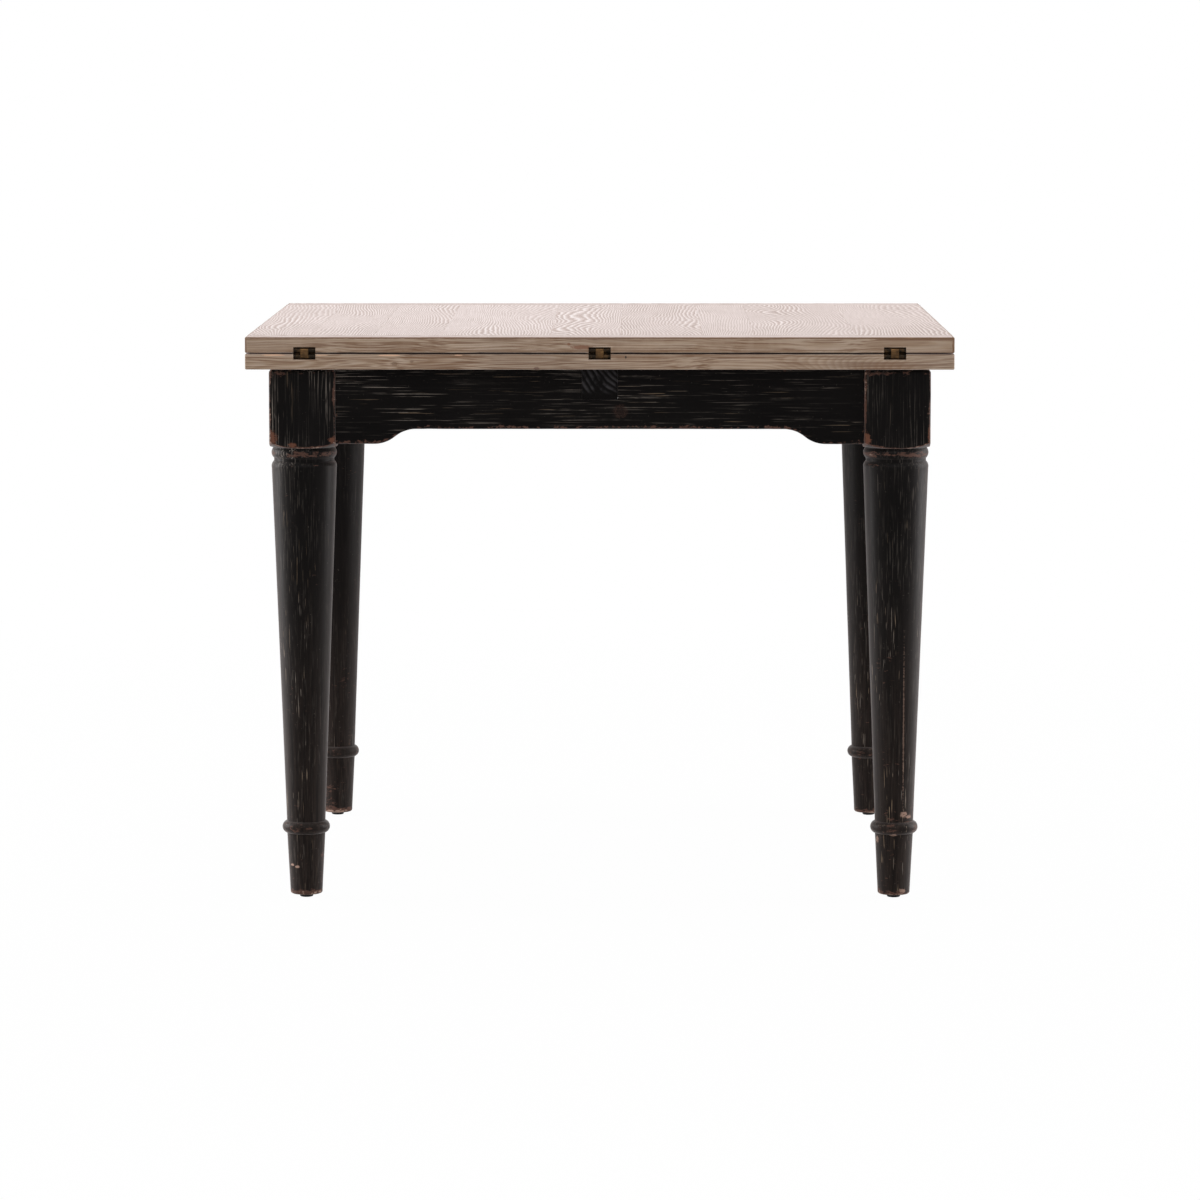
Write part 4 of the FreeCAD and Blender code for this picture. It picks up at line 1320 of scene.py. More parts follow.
def run_tree(piece: Piece, tree: Tree, values: dict[str, Any], sharp: float) -> None:
    """Runs a geometry node tree on a piece and keeps the result as its mesh.

    Args:
        piece: The piece.
        tree: The tree.
        values: Values for the tree's inputs, by name.
        sharp: The angle past which an edge is sharp, in degrees.
    """
    names = {item.name: item.identifier for item in tree.interface.items_tree if item.in_out == "INPUT"}
    step = piece.modifiers.new("tree", "NODES")
    step.node_group = tree
    for label, value in values.items():
        step[names[label]] = value
    finish_mesh(bake(piece), sharp)


def hang(piece: Piece, body: str, slot: str, *nodes: str) -> None:
    """Hands a finished piece to the frame.

    Args:
        piece: The piece.
        body: The CAD body that it rides on.
        slot: The record's material slot, which is not used.
        nodes: The CAD nodes that it stands for.
    """
    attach(piece, body)
    if nodes:
        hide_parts(*nodes)
    LOG.info("%s: %d faces on %s", piece.name, len(piece.data.polygons), body)


# Sub-assemblies


def arc_points(
    start: Sequence[float], through: Sequence[float], end: Sequence[float], count: int
) -> list[Pair]:
    """Points on the arc through three points of a plane.

    Args:
        start: Where it starts.
        through: A point on it.
        end: Where it ends.
        count: How many points are wanted after the first.

    Returns:
        The points, without the first.
    """
    (ax, ay), (bx, by), (cx, cy) = start, through, end
    twice = 2 * (ax * (by - cy) + bx * (cy - ay) + cx * (ay - by))
    aa, bb, cc = ax * ax + ay * ay, bx * bx + by * by, cx * cx + cy * cy
    ux = (aa * (by - cy) + bb * (cy - ay) + cc * (ay - by)) / twice
    uy = (aa * (cx - bx) + bb * (ax - cx) + cc * (bx - ax)) / twice
    first = math.atan2(ay - uy, ax - ux)
    mid = (math.atan2(by - uy, bx - ux) - first) % TAU
    sweep = (math.atan2(cy - uy, cx - ux) - first) % TAU
    if mid > sweep:
        sweep -= TAU
    radius = math.hypot(ax - ux, ay - uy)
    turns = [first + sweep * (k + 1) / count for k in range(count)]
    return [(ux + radius * math.cos(t), uy + radius * math.sin(t)) for t in turns]


@dataclass
class TurnedLegs:
    """Four legs turned from square blanks, made by one geometry node tree from the turner's profile."""

    axis: float = 417.5
    block: float = 93.0
    block_arris: float = 3.4
    top: float = 754.0
    top_ease: float = 6.5
    block_height: float = 102.5
    pommel_drop: float = 9.6
    neck: float = 87.6
    neck_height: float = 1.6
    collar: float = 91.8
    collar_height: float = 14.1
    root: float = 84.8
    groove_height: float = 3.8
    shoulder_height: float = 10.0
    shaft_top: float = 91.4
    shaft_end: float = 54.4
    ring_height: float = 101.0
    ring_tall: float = 17.6
    ring: float = 67.2
    foot_top: float = 53.8
    foot_end: float = 45.4
    foot_round: float = 3.5
    foot_height: float = 5.0
    seat_chamfer: float = 12.0
    sides: int = 200
    axis_hole: float = 0.01
    axis_weld: float = 0.04
    unevenness: float = 0.16

    def profile(self) -> list[Triple]:
        """The turner's profile.

        Returns:
            Radii, heights and wear from the axis at the foot to the axis at the top.
        """
        shoulder = self.top - self.block_height
        neck_top = shoulder - self.pommel_drop
        collar_top = neck_top - self.neck_height
        collar_low = collar_top - self.collar_height
        groove_low = collar_low - self.groove_height
        shaft_top = groove_low - self.shoulder_height
        ring_top = self.ring_height + self.ring_tall / 2
        ring_low = self.ring_height - self.ring_tall / 2
        foot = self.foot_height
        heel = self.foot_end / 2
        neck = self.neck / 2
        root = self.root / 2
        shaft = self.shaft_top / 2
        corner = self.block / 2 * math.sqrt(2)
        turn = 1 - math.sqrt(0.5)
        swell = self.pommel_drop * turn / 2
        line: list[Triple] = [(0.0, foot, 0.0)]

        def run(r: float, z: float, count: int, wear: float = 0.0) -> None:
            """Adds a straight run of points.

            Args:
                r: The radius that it runs to.
                z: The height that it runs to.
                count: How many points it has.
                wear: The wear at its end.
            """
            r0, z0, w0 = line[-1]
            for k in range(1, count + 1):
                t = k / count
                line.append((r0 + (r - r0) * t, z0 + (z - z0) * t, w0 + (wear - w0) * t))

        def curve(through: Pair, end: Pair, count: int, crest: float, last: float) -> None:
            """Adds an arc with a wear of its own in the middle.

            Args:
                through: A radius and a height on it.
                end: The radius and the height where it ends.
                count: How many points it has.
                crest: The wear of its middle.
                last: The wear at its end.
            """
            w0 = line[-1][2]
            for k, (r, z) in enumerate(arc_points(line[-1][:2], through, end, count), 1):
                t = k / count
                level = w0 + (last - w0) * t
                line.append((r, z, level + (crest - level) * math.sin(math.pi * t) ** 1.4))

        run(heel - self.foot_round, foot, 5, 0.7)
        mid = (heel - self.foot_round * turn, foot + self.foot_round * turn)
        curve(mid, (heel, foot + self.foot_round), 7, 1.0, 0.8)
        run(heel + 0.3, foot + self.foot_round + 7, 4, 0.2)
        run(self.foot_top / 2, ring_low, 14, 0.22)
        curve((self.ring / 2, self.ring_height), (self.shaft_end / 2, ring_top), 30, 0.4, 0.26)
        run(self.shaft_end / 2 + 1.6, ring_top + 45, 8, 0.14)
        run(shaft, shaft_top, 74, 0.1)
        mid = (shaft - (shaft - root) * turn, shaft_top + self.shoulder_height * math.sqrt(0.5))
        curve(mid, (root, groove_low), 12, 0.3, 0.05)
        run(root, collar_low, 5, 0.05)
        curve((self.collar / 2, (collar_top + collar_low) / 2), (neck, collar_top), 24, 0.66, 0.1)
        run(neck, neck_top, 3, 0.1)
        mid = ((corner + neck) / 2 + swell, (shoulder + neck_top) / 2 - swell)
        curve(mid, (corner, shoulder), 18, 0.2, 0.2)
        run(corner + 0.9, shoulder + 0.4, 1)
        run(corner + 0.9, self.top - 2.2 * self.top_ease, 20)
        run(corner + 0.9, self.top - self.top_ease, 3, 0.5)
        run(corner + 0.9, self.top, 8, 0.3)
        run(0.0, self.top, 6)
        return line

    def tree(self) -> Tree:
        """The tree that turns a profile and squares its block.

        Returns:
            The geometry node tree.
        """
        sizes = ("Half Block", "Arris", "Neck", "Top", "Top Ease", "Seat Reach", "Unevenness", "Seed")
        w, given, leave = new_group(
            "Turned leg",
            {
                "Profile": GEOMETRY,
                "Axis": VECTOR,
                "Seat Way": VECTOR,
                **dict.fromkeys(sizes, NUMBER),
                "Sides": "NodeSocketInt",
                "Finish": "NodeSocketMaterial",
            },
            ("Leg",),
            GEOMETRY,
        )
        hole = self.axis_hole * MM
        outline = w.add("GeometryNodeMeshToCurve", {0: given["Profile"]})
        path = w.add("GeometryNodeCurvePrimitiveCircle", {"Resolution": given["Sides"], "Radius": hole})
        upright = w.add("GeometryNodeSetCurveNormal", {0: path.outputs[0]}, mode="Z_UP")
        sweep = w.add("GeometryNodeCurveToMesh", {0: upright.outputs[0], 1: outline.outputs[0]})
        closed = w.add("GeometryNodeMergeByDistance", {0: sweep.outputs[0], "Distance": self.axis_weld * MM})
        place = w.add("GeometryNodeInputPosition").outputs[0]
        x, y, z = w.split(place)
        far = w.vector("ABSOLUTE", place)
        far_x, far_y, _ = w.split(far)
        stand = w.minus(w.math("MAXIMUM", far_x, far_y), given["Half Block"])
        spot = w.vector("ADD", place, w.join(given["Seed"], given["Seed"], 0.0))
        reach = w.ramp(w.noise(spot, (36.0, 36.0, 30.0), 2.0, 0.6), 0.36, 0.66, 1.2, 0.34)
        low = w.ramp(z, w.plus(given["Neck"], 0.034), w.plus(given["Neck"], 0.012), 1.0, 0.7)
        stand = w.times(w.math("ABSOLUTE", stand), w.times(reach, low))
        edge = w.ramp(stand, 0.0005, 0.0034, 0.86, 0.0)
        edge = w.times(edge, w.math("GREATER_THAN", z, given["Neck"]))
        kept = w.add("GeometryNodeInputNamedAttribute", {0: "wear"}, data_type="FLOAT").outputs[0]
        wear = w.math("MAXIMUM", edge, kept)
        marked = w.add(
            "GeometryNodeStoreNamedAttribute",
            {0: closed.outputs[0], "Name": "wear", "Value": wear},
            data_type="FLOAT",
            domain="POINT",
        )
        sign_x = w.math("SIGN", x)
        sign_y = w.math("SIGN", y)
        spot = w.join(w.times(sign_x, 2.3), w.times(sign_y, 3.7), w.plus(z, given["Seed"]))
        change = w.noise(spot, (1.0, 1.0, 38.0), 3.0, 0.65)
        arris = w.times(given["Arris"], w.ramp(change, 0.25, 0.8, 0.55, 1.7))
        over = w.minus(z, w.minus(given["Top"], given["Top Ease"]))
        over = w.math("DIVIDE", over, given["Top Ease"], clamp=True)
        round_off = w.math("SQRT", w.math("SUBTRACT", 1.0, w.times(over, over), clamp=True))
        round_off = w.times(w.minus(1.0, round_off), given["Top Ease"])
        inner = w.minus(w.minus(given["Half Block"], arris), round_off)
        past_x = w.math("MAXIMUM", w.minus(far_x, inner), 0.0)
        past_y = w.math("MAXIMUM", w.minus(far_y, inner), 0.0)
        length = w.vector("LENGTH", w.join(past_x, past_y, 0.0))
        share = w.math("MINIMUM", 1.0, w.math("DIVIDE", arris, w.math("MAXIMUM", length, 0.000001)))
        new_x = w.plus(w.math("MINIMUM", far_x, inner), w.times(past_x, share))
        new_y = w.plus(w.math("MINIMUM", far_y, inner), w.times(past_y, share))
        square = w.join(w.times(new_x, sign_x), w.times(new_y, sign_y), z)
        squared = w.add("GeometryNodeSetPosition", {0: marked.outputs[0], "Position": square})
        beyond = w.vector("DOT_PRODUCT", place, given["Seat Way"])
        beyond = w.math("MAXIMUM", w.minus(beyond, given["Seat Reach"]), 0.0)
        back = w.vector("MULTIPLY", given["Seat Way"], w.join(*[w.times(beyond, -1.0)] * 3))
        seated = w.add("GeometryNodeSetPosition", {0: squared.outputs[0], "Offset": back})
        spot = w.vector("ADD", place, w.join(given["Seed"], 0.0, given["Seed"]))
        rough = w.minus(w.noise(spot, (26.0, 26.0, 15.0)), 0.6)
        push = w.times(rough, w.times(given["Unevenness"], 2.0))
        normal = w.add("GeometryNodeInputNormal").outputs[0]
        shift = w.vector("MULTIPLY", normal, w.join(push, push, push))
        worn = w.add("GeometryNodeSetPosition", {0: seated.outputs[0], "Offset": shift})
        moved = w.add("GeometryNodeTransform", {0: worn.outputs[0], "Translation": given["Axis"]})
        real = w.add("GeometryNodeRealizeInstances", {0: moved.outputs[0]})
        coated = w.add("GeometryNodeSetMaterial", {0: real.outputs[0], "Material": given["Finish"]})
        w.feed(leave[0], coated.outputs[0])
        return w.tree

    def build(self, palette: Palette) -> None:
        """Makes the four legs.

        Args:
            palette: The materials.
        """
        tree = self.tree()
        line = np.array(self.profile())
        points = np.column_stack([line[:, 0], -line[:, 1], np.zeros(len(line))])
        edges = [(i, i + 1) for i in range(len(line) - 1)]
        neck_top = self.top - self.block_height - self.pommel_drop
        reach = self.block / 2 * math.sqrt(2) - self.seat_chamfer / math.sqrt(2)
        for number, (corner, (sx, sy)) in enumerate(CORNERS.items()):
            leg = new_piece(f"turned_leg_{corner}", points, marks={"wear": line[:, 2]}, edges=edges)
            values = {
                "Axis": (sx * self.axis * MM, sy * self.axis * MM, 0.0),
                "Half Block": self.block / 2 * MM,
                "Arris": self.block_arris * MM,
                "Neck": (neck_top - 0.5) * MM,
                "Top": self.top * MM,
                "Top Ease": self.top_ease * MM,
                "Seat Way": (-sx * math.sqrt(0.5), -sy * math.sqrt(0.5), 0.0),
                "Seat Reach": reach * MM,
                "Sides": self.sides,
                "Unevenness": self.unevenness * MM,
                "Seed": 3.3 + 1.7 * number,
                "Finish": palette.legs,
            }
            run_tree(leg, tree, values, sharp=40.0)
            hang(leg, "base", "black_paint", f"leg_{corner}")


@dataclass
class Aprons:
    """Four aprons with a raised middle, the front and rear ones notched for the beam."""

    length: float = 742.0
    outer: float = 458.0
    thickness: float = 22.0
    top: float = 754.0
    depth: float = 106.0
    rise: float = 21.0
    arch_start: float = 54.0
    ogee_run: float = 59.0
    lower_ease: float = 3.2
    notch_half: float = 25.2
    notch_floor: float = 710.6

    def lower_edge(self, along: np.ndarray) -> np.ndarray:
        """Height of the lower edge.

        Args:
            along: Places along the apron, from its middle.

        Returns:
            The height at each.
        """
        low = self.top - self.depth
        high = low + self.rise
        start = self.length / 2 - self.arch_start
        crown = start - self.ogee_run
        half_run, half_rise = self.ogee_run / 2, self.rise / 2
        radius = (half_run**2 + half_rise**2) / (2 * half_rise)
        place = np.abs(along)
        foot = np.clip(start - place, 0, half_run)
        head = np.clip(place - crown, 0, half_run)
        rising = low + radius - np.sqrt(radius**2 - foot**2)
        arriving = high - radius + np.sqrt(radius**2 - head**2)
        return np.where(place > (start + crown) / 2, rising, arriving)

    def build(self, palette: Palette) -> None:
        """Makes the aprons.

        Args:
            palette: The materials.
        """
        half = self.length / 2
        start = half - self.arch_start
        fine = np.arange(start - self.ogee_run - 4, start + 5, 2.0)
        extra = tuple(fine) + tuple(-fine)
        low = self.top - self.depth
        outer, inner = self.outer, self.outer - self.thickness
        places = {
            "front_apron": ((-half, -outer, low), (half, -inner, self.top), Grain.ALONG_X, 0),
            "rear_apron": ((-half, inner, low), (half, outer, self.top), Grain.ALONG_X, 1),
            "left_apron": ((-outer, -half, low), (-inner, half, self.top), Grain.ALONG_Y, 0),
            "right_apron": ((inner, -half, low), (outer, half, self.top), Grain.ALONG_Y, 1),
        }
        for number, (name, (lowest, highest, grain, swap)) in enumerate(places.items()):
            worn = (0.5, 0.3, 0.2, 0.35)
            if swap:
                worn = (0.3, 0.5, 0.35, 0.2)
            bar = Bar(
                lowest,
                highest,
                grain,
                (self.lower_ease, self.lower_ease, 0.8, 0.8),
                worn,
                end_ease=0.5,
                step=7.0,
                unevenness=0.5,
                chips=5,
                seed=40 + number,
                board=1.3 * number,
                extra=extra,
                floor=self.lower_edge,
                middles=(2, 9),
            )
            crosswise = grain is Grain.ALONG_X
            apron = bar.build(f"shaped_{name}", palette.cross_aprons if crosswise else palette.side_aprons)
            if crosswise:
                near = min(lowest[1], highest[1]) - 5
                far = max(lowest[1], highest[1]) + 5
                notch = ((-self.notch_half, near, self.notch_floor), (self.notch_half, far, self.top + 9))
                finish_mesh(cut_away(apron, [box_cutter("notch", [notch])], bar.board))
            hang(apron, "base", "black_paint", name)


@dataclass
class Leaf:
    """One leaf of the top: planks that run front to back between two clamping strips."""

    name: str
    meeting: float
    into: int
    mix: tuple[int, ...]
    tones: tuple[float, ...]
    hinges: tuple[float, ...] = (-412.0, 0.0, 412.0)
    width: float = 990.0
    depth: float = 990.0
    thickness: float = 22.0
    strip: float = 58.0
    joint_ease: float = 0.25
    outer_ease: float = 0.9
    meeting_round: float = 1.8
    recess_half: float = 15.5
    well: float = 8.1
    shelf_depth: float = 4.6
    shelf_back: float = 46.5

    @property
    def levels(self) -> Pair:
        """Heights of the leaf's lower and upper faces."""
        other = self.meeting + self.into * self.thickness
        return min(self.meeting, other), max(self.meeting, other)

    def _arrises(self, meeting_side: float, outer_side: float) -> Pair:
        """Values for the lower and the upper arris, given by which face they are on."""
        return (meeting_side, outer_side) if self.into > 0 else (outer_side, meeting_side)

    def build_planks(self, palette: Palette) -> None:
        """Makes the planks.

        Args:
            palette: The materials.
        """
        low, high = self.levels
        end = self.depth / 2 - self.strip
        left = -self.width / 2
        seed = 100 if self.into > 0 else 200
        for number, share in enumerate(self.mix, 1):
            right = left + self.width * share / sum(self.mix)
            first, last = number == 1, number == len(self.mix)
            eases = [self.joint_ease] * 4
            worn = [0.0] * 4
            if first:
                eases[0] = eases[3] = self.outer_ease
                worn[0] = worn[3] = 0.9
            if last:
                eases[1] = eases[2] = self.outer_ease
                worn[1] = worn[2] = 0.9
            bar = Bar(
                (left, -end, low),
                (right, end, high),
                Grain.ALONG_Y,
                tuple(eases),
                tuple(worn),
                end_ease=0.3,
                step=14.0,
                seed=seed + number,
                board=(seed + number * 7) * 0.37 % 23,
                tone=self.tones[number - 1],
                side_lime_and_light=0.4,
            )
            plank = bar.build(f"{self.name}_board_{number}", palette.planks)
            hang(plank, f"{self.name}_leaf", "limed_pine", f"{self.name}_plank_{number}")
            left = right

    def build_strip(self, side: Side, palette: Palette) -> None:
        """Makes a clamping strip.

        Args:
            side: The end of the leaf that it closes.
            palette: The materials.
        """
        low, high = self.levels
        half = self.width / 2
        outer = side.value * self.depth / 2
        inner = outer - side.value * self.strip
        hinged = side is Side.HINGED
        lower, upper = self._arrises(self.meeting_round if hinged else self.outer_ease, self.outer_ease)
        lower_wear, upper_wear = self._arrises(0.4, 1.0 if self.into > 0 else 0.55)
        eases = (lower, self.joint_ease, self.joint_ease, upper)
        worn = (lower_wear, 0.1, 0.1, upper_wear)
        # Painted shade of the gap where the leaves meet, strong on the hinged strip and weaker on the back
        # strip.
        gap_shading = self._arrises(0.95 if hinged else 0.5, 0.0)
        if not hinged:
            eases = (self.joint_ease, lower, upper, self.joint_ease)
            worn = (0.1, lower_wear, upper_wear, 0.1)
        bar = Bar(
            (-half, min(outer, inner), low),
            (half, max(outer, inner), high),
            Grain.ALONG_X,
            eases,
            worn,
            (gap_shading[0], 0.0, 0.0, gap_shading[1]) if hinged else (0.0, gap_shading[0], gap_shading[1], 0.0),
            end_ease=1.5,
            step=7.0,
            unevenness=0.3,
            waviness=0.5,
            chips=7,
            seed=300 + side.value + 10 * self.into,
            board=4.1 + side.value + 2.2 * self.into,
            middles=(5, 3),
        )
        strip = bar.build(f"{self.name}_{side.name.lower()}_clamp", palette.strips)
        node = f"{self.name}_{'hinge' if hinged else 'back'}_strip"
        if hinged:
            past = self.meeting - self.into * 5
            shelves = []
            wells = []
            cuts = ((shelves, self.shelf_back, self.shelf_depth), (wells, self.well, self.well))
            for x in self.hinges:
                for boxes, back, depth in cuts:
                    floor = self.meeting + self.into * depth
                    corners = (
                        (x - self.recess_half, outer - 5, min(past, floor)),
                        (x + self.recess_half, outer + back, max(past, floor)),
                    )
                    boxes.append(corners)
            cut_away(strip, [box_cutter("shelves", shelves), box_cutter("wells", wells)], bar.board)
            finish_mesh(strip)
        hang(strip, f"{self.name}_leaf", "limed_pine", node)

    def build(self, palette: Palette) -> None:
        """Makes the whole leaf but for its hinges.

        Args:
            palette: The materials.
        """
        self.build_planks(palette)
        for side in Side:
            self.build_strip(side, palette)


@dataclass
class Hinges:
    """Three double-pin leg hinges."""

    places: tuple[str, ...] = ("left", "middle", "right")
    ease: float = 0.4
    pin_ease: float = 0.2

    def build(self, palette: Palette) -> None:
        """Makes plates, links and pins.

        Args:
            palette: The materials.
        """
        for place in self.places:
            for leaf in ("lower", "upper"):
                node = f"{leaf}_hinge_plate_{place}"
                plate = softened_copy(f"forked_{node}", node, self.ease, palette.plates)
                hang(plate, f"{leaf}_leaf", "aged_brass", node)
            link = softened_copy(f"eyed_link_{place}", f"hinge_link_{place}", self.ease, palette.links)
            hang(link, "hinge_links", "aged_brass", f"hinge_link_{place}")
        for leaf in ("lower", "upper"):
            pins = softened_copy(f"{leaf}_pins", f"{leaf}_hinge_pins", self.pin_ease, palette.browned)
            hang(pins, f"{leaf}_leaf", "dark_steel", f"{leaf}_hinge_pins")


@dataclass
class Slide:
    """The beam under the lower leaf, its guide rails, and the strips and angles round them."""

    wood_ease: float = 1.2
    steel_ease: float = 0.35
    strip_ease: float = 0.2
    strip_top: float = 754.8
    strip_press: float = 0.12

    def build(self, palette: Palette) -> None:
        """Makes the slide's pieces, the strips pressed a little by the leaves that slide over them.

        Args:
            palette: The materials.
        """
        beam = softened_copy("grooved_beam", "slide_beam", self.wood_ease * 0.6, palette.beam)
        hang(beam, "lower_leaf", "black_paint", "slide_beam")
        for side in ("left", "right"):
            rail = softened_copy(f"tongued_rail_{side}", f"guide_rail_{side}", self.wood_ease, palette.rails)
            hang(rail, "base", "raw_wood", f"guide_rail_{side}")
        angles = softened_copy("bent_angles", "rail_angles", self.steel_ease, palette.zinc)
        hang(angles, "base", "zinc_steel", "rail_angles")
        strips = softened_copy("glide_tapes", "slide_strips", self.strip_ease, palette.nylon)
        for vertex in strips.data.vertices:
            if vertex.co.z > (self.strip_top - 0.4) * MM:
                vertex.co.z -= self.strip_press * MM
        hang(strips, "base", "nylon", "slide_strips")


@dataclass
class CornerBraces:
    """The braces across the frame's corners."""

    ease: float = 1.4

    def build(self, palette: Palette) -> None:
        """Makes the braces.

        Args:
            palette: The materials.
        """
        for corner in CORNERS:
            node = f"corner_brace_{corner}"
            brace = softened_copy(f"planed_{node}", node, self.ease, palette.braces)
            hang(brace, "base", "raw_wood", node)


@dataclass(frozen=True)
class ScrewSize:
    """A slotted wood screw's sizes."""

    head: float
    head_tall: float
    shank: float
    sunk: bool


@dataclass
class Fasteners:
    """Screws, bolts, washers, nuts and floor glides, each drawn once and set out by one node tree."""

    sides: int = 28
    ring_sides: int = 48
    thread: float = 0.35
    slot_share: float = 0.14
    bolt: float = 8.0
    washer: float = 20.0
    washer_tall: float = 2.0
    nut_flats: float = 13.0
    nut_tall: float = 6.5
    glide: float = 19.0
    glide_tall: float = 5.0

    @staticmethod
    def tree() -> Tree:
        """The tree that sets a pattern out on points, each turned to its aim.

        Returns:
            The geometry node tree.
        """
        w, given, leave = new_group(
            "Set out",
            {
                "Points": GEOMETRY,
                "Pattern": "NodeSocketObject",
                "Most Turn": NUMBER,
                "Seed": "NodeSocketInt",
                "Finish": "NodeSocketMaterial",
            },
            ("Pieces",),
            GEOMETRY,
        )
        pattern = w.add("GeometryNodeObjectInfo", {0: given["Pattern"]})
        aim = w.add("GeometryNodeInputNamedAttribute", {0: "aim"}, data_type="FLOAT_VECTOR").outputs[0]
        facing = w.add("FunctionNodeAlignRotationToVector", {"Vector": aim}, axis="Z")
        terms = {2: 0.0, 3: given["Most Turn"], 8: given["Seed"]}
        chance = w.add("FunctionNodeRandomValue", terms, data_type="FLOAT")
        spin = w.add("FunctionNodeAxisAngleToRotation", {0: (0.0, 0.0, 1.0), 1: chance.outputs[1]})
        turned = w.add(
            "FunctionNodeRotateRotation", {0: facing.outputs[0], 1: spin.outputs[0]}, rotation_space="LOCAL"
        )
        points = w.add("GeometryNodeMeshToPoints", {0: given["Points"]})
        shape = pattern.outputs["Geometry"]
        terms = {0: points.outputs[0], "Instance": shape, "Rotation": turned.outputs[0]}
        placed = w.add("GeometryNodeInstanceOnPoints", terms)
        real = w.add("GeometryNodeRealizeInstances", {0: placed.outputs[0]})
        coated = w.add("GeometryNodeSetMaterial", {0: real.outputs[0], "Material": given["Finish"]})
        w.feed(leave[0], coated.outputs[0])
        return w.tree

    def screw(self, size: ScrewSize, length: float) -> Piece:
        """Draws one slotted screw, its seat at the origin and its head up.

        Args:
            size: Its sizes.
            length: From the seat to the tip.

        Returns:
            The pattern.
        """
        head, shank = size.head / 2, size.shank / 2
        tall = size.head_tall
        crown = 0.0 if size.sunk else tall
        root = -tall if size.sunk else 0.0
        line = [(0.0, -length), (0.25 * shank, -length + 0.2), (0.8 * shank, -length + 2.2)]
        z = -length + 2.6
        while z < root - 0.3 * length:
            line += [(shank - self.thread, z), (shank, z + 0.45), (shank - self.thread, z + 0.9)]
            z += 1.1
        line += [(shank, z), (shank, root)]
        if size.sunk:
            line += [(head - 0.15, crown - 0.3), (head - 0.15, crown - 0.1), (head - 0.4, crown)]
        else:
            line += [(head - 0.3, 0.0), (head, 0.3), (head, 0.45 * tall)]
            line += [(0.86 * head, 0.78 * tall), (0.5 * head, 0.97 * tall)]
        line += [(0.0, crown)]
        points, faces = lathe(line, self.sides)
        pattern = new_piece("screw_pattern", points, faces)
        wide = self.slot_share * size.head / 2
        deep = 0.14 * size.head
        slot = ((-size.head, -wide, crown - deep), (size.head, wide, crown + 3))
        return finish_mesh(cut_away(pattern, [box_cutter("slot", [slot])]))

    def bolt_end(self, length: float) -> Piece:
        """Draws one threaded bolt, its middle at the origin.

        Args:
            length: Its whole length.

        Returns:
            The pattern.
        """
        r = self.bolt / 2
        line = [(0.0, -length / 2), (r - 0.9, -length / 2)]
        z = -length / 2 + 0.8
        while z < length / 2 - 1.4:
            line += [(r - 0.55, z), (r, z + 0.4), (r - 0.55, z + 0.8)]
            z += 0.95
        line += [(r - 0.9, length / 2), (0.0, length / 2)]
        points, faces = lathe(line, self.sides)
        return finish_mesh(new_piece("bolt_pattern", points, faces), sharp=70.0)

    def ring(self, outer: float, bore: float, tall: float, hexed: bool) -> Piece:
        """Draws one washer or nut, its middle at the origin.

        Args:
            outer: Its width, across the flats of a nut.
            bore: Its hole.
            tall: Its height.
            hexed: Whether it is a nut.

        Returns:
            The pattern.
        """
        count = self.ring_sides
        turns = np.arange(count) * TAU / count
        flat = outer / 2
        rim = np.full(count, flat)
        if hexed:
            rim = flat / np.cos((turns + TAU / 12) % (TAU / 6) - TAU / 12)
        trim = 0.12 * tall
        half = tall / 2
        end = np.minimum(rim, flat * 0.99) if hexed else rim - trim
        shoulder = half - (0.05 if hexed else 0.0)
        levels = [(bore / 2, -half), (end, -half), (rim, -shoulder + trim)]
        levels += [(rim, shoulder - trim), (end, half), (bore / 2, half)]
        points = []
        for radius, z in levels:
            circle = [radius * np.cos(turns), radius * np.sin(turns), np.full(count, z)]
            points += np.column_stack(circle).tolist()
        faces = loft_faces(len(levels), count)[:-2]
        last = (len(levels) - 1) * count
        faces += [[last + k, last + (k + 1) % count, (k + 1) % count, k] for k in range(count)]
        return finish_mesh(new_piece("ring_pattern", points, faces), sharp=28.0)

    def glide_disc(self) -> Piece:
        """Draws one nail-on glide with a domed foot, standing on the origin.

        Returns:
            The pattern.
        """
        r, tall = self.glide / 2, self.glide_tall
        line = [(0.0, 0.0), (0.72 * r, 0.0), (0.86 * r, 0.25), (0.95 * r, 0.8), (r, 1.7), (r, tall - 1.0)]
        line += [(0.97 * r, tall - 0.5), (0.94 * r, tall), (1.3, tall), (1.3, tall + 14), (0.0, tall + 16)]
        points, faces = lathe(line, self.ring_sides)
        return finish_mesh(new_piece("glide_pattern", points, faces))

    @staticmethod
    def aims(solids: Sequence[np.ndarray], size: ScrewSize) -> tuple[np.ndarray, np.ndarray, float]:
        """Where screws sit and point, read from the CAD solids.

        Args:
            solids: The points of each screw.
            size: The screws' sizes.

        Returns:
            The seats, the ways out along the heads, and the length from seat to tip.
        """
        seats = []
        ways = []
        length = 0.0
        for solid in solids:
            middle = solid.mean(0)
            way = np.linalg.svd(solid - middle, full_matrices=False)[2][0]
            axis = way[np.argmax(np.abs(way))]
            way = np.where(np.abs(way) == abs(axis), np.sign(way), 0.0)
            along = solid @ way
            spread = solid - np.outer(along, way)
            centre = (spread.min(0) + spread.max(0)) / 2
            reach = np.linalg.norm(spread - centre, axis=1)
            if along[reach > 0.97 * reach.max()].mean() < (along.min() + along.max()) / 2:
                way = -way
                along = -along
            crown = along.max()
            seat = crown if size.sunk else crown - size.head_tall
            seats.append(centre + way * seat)
            ways.append(way)
            length = seat - along.min()
        return np.array(seats), np.array(ways), length

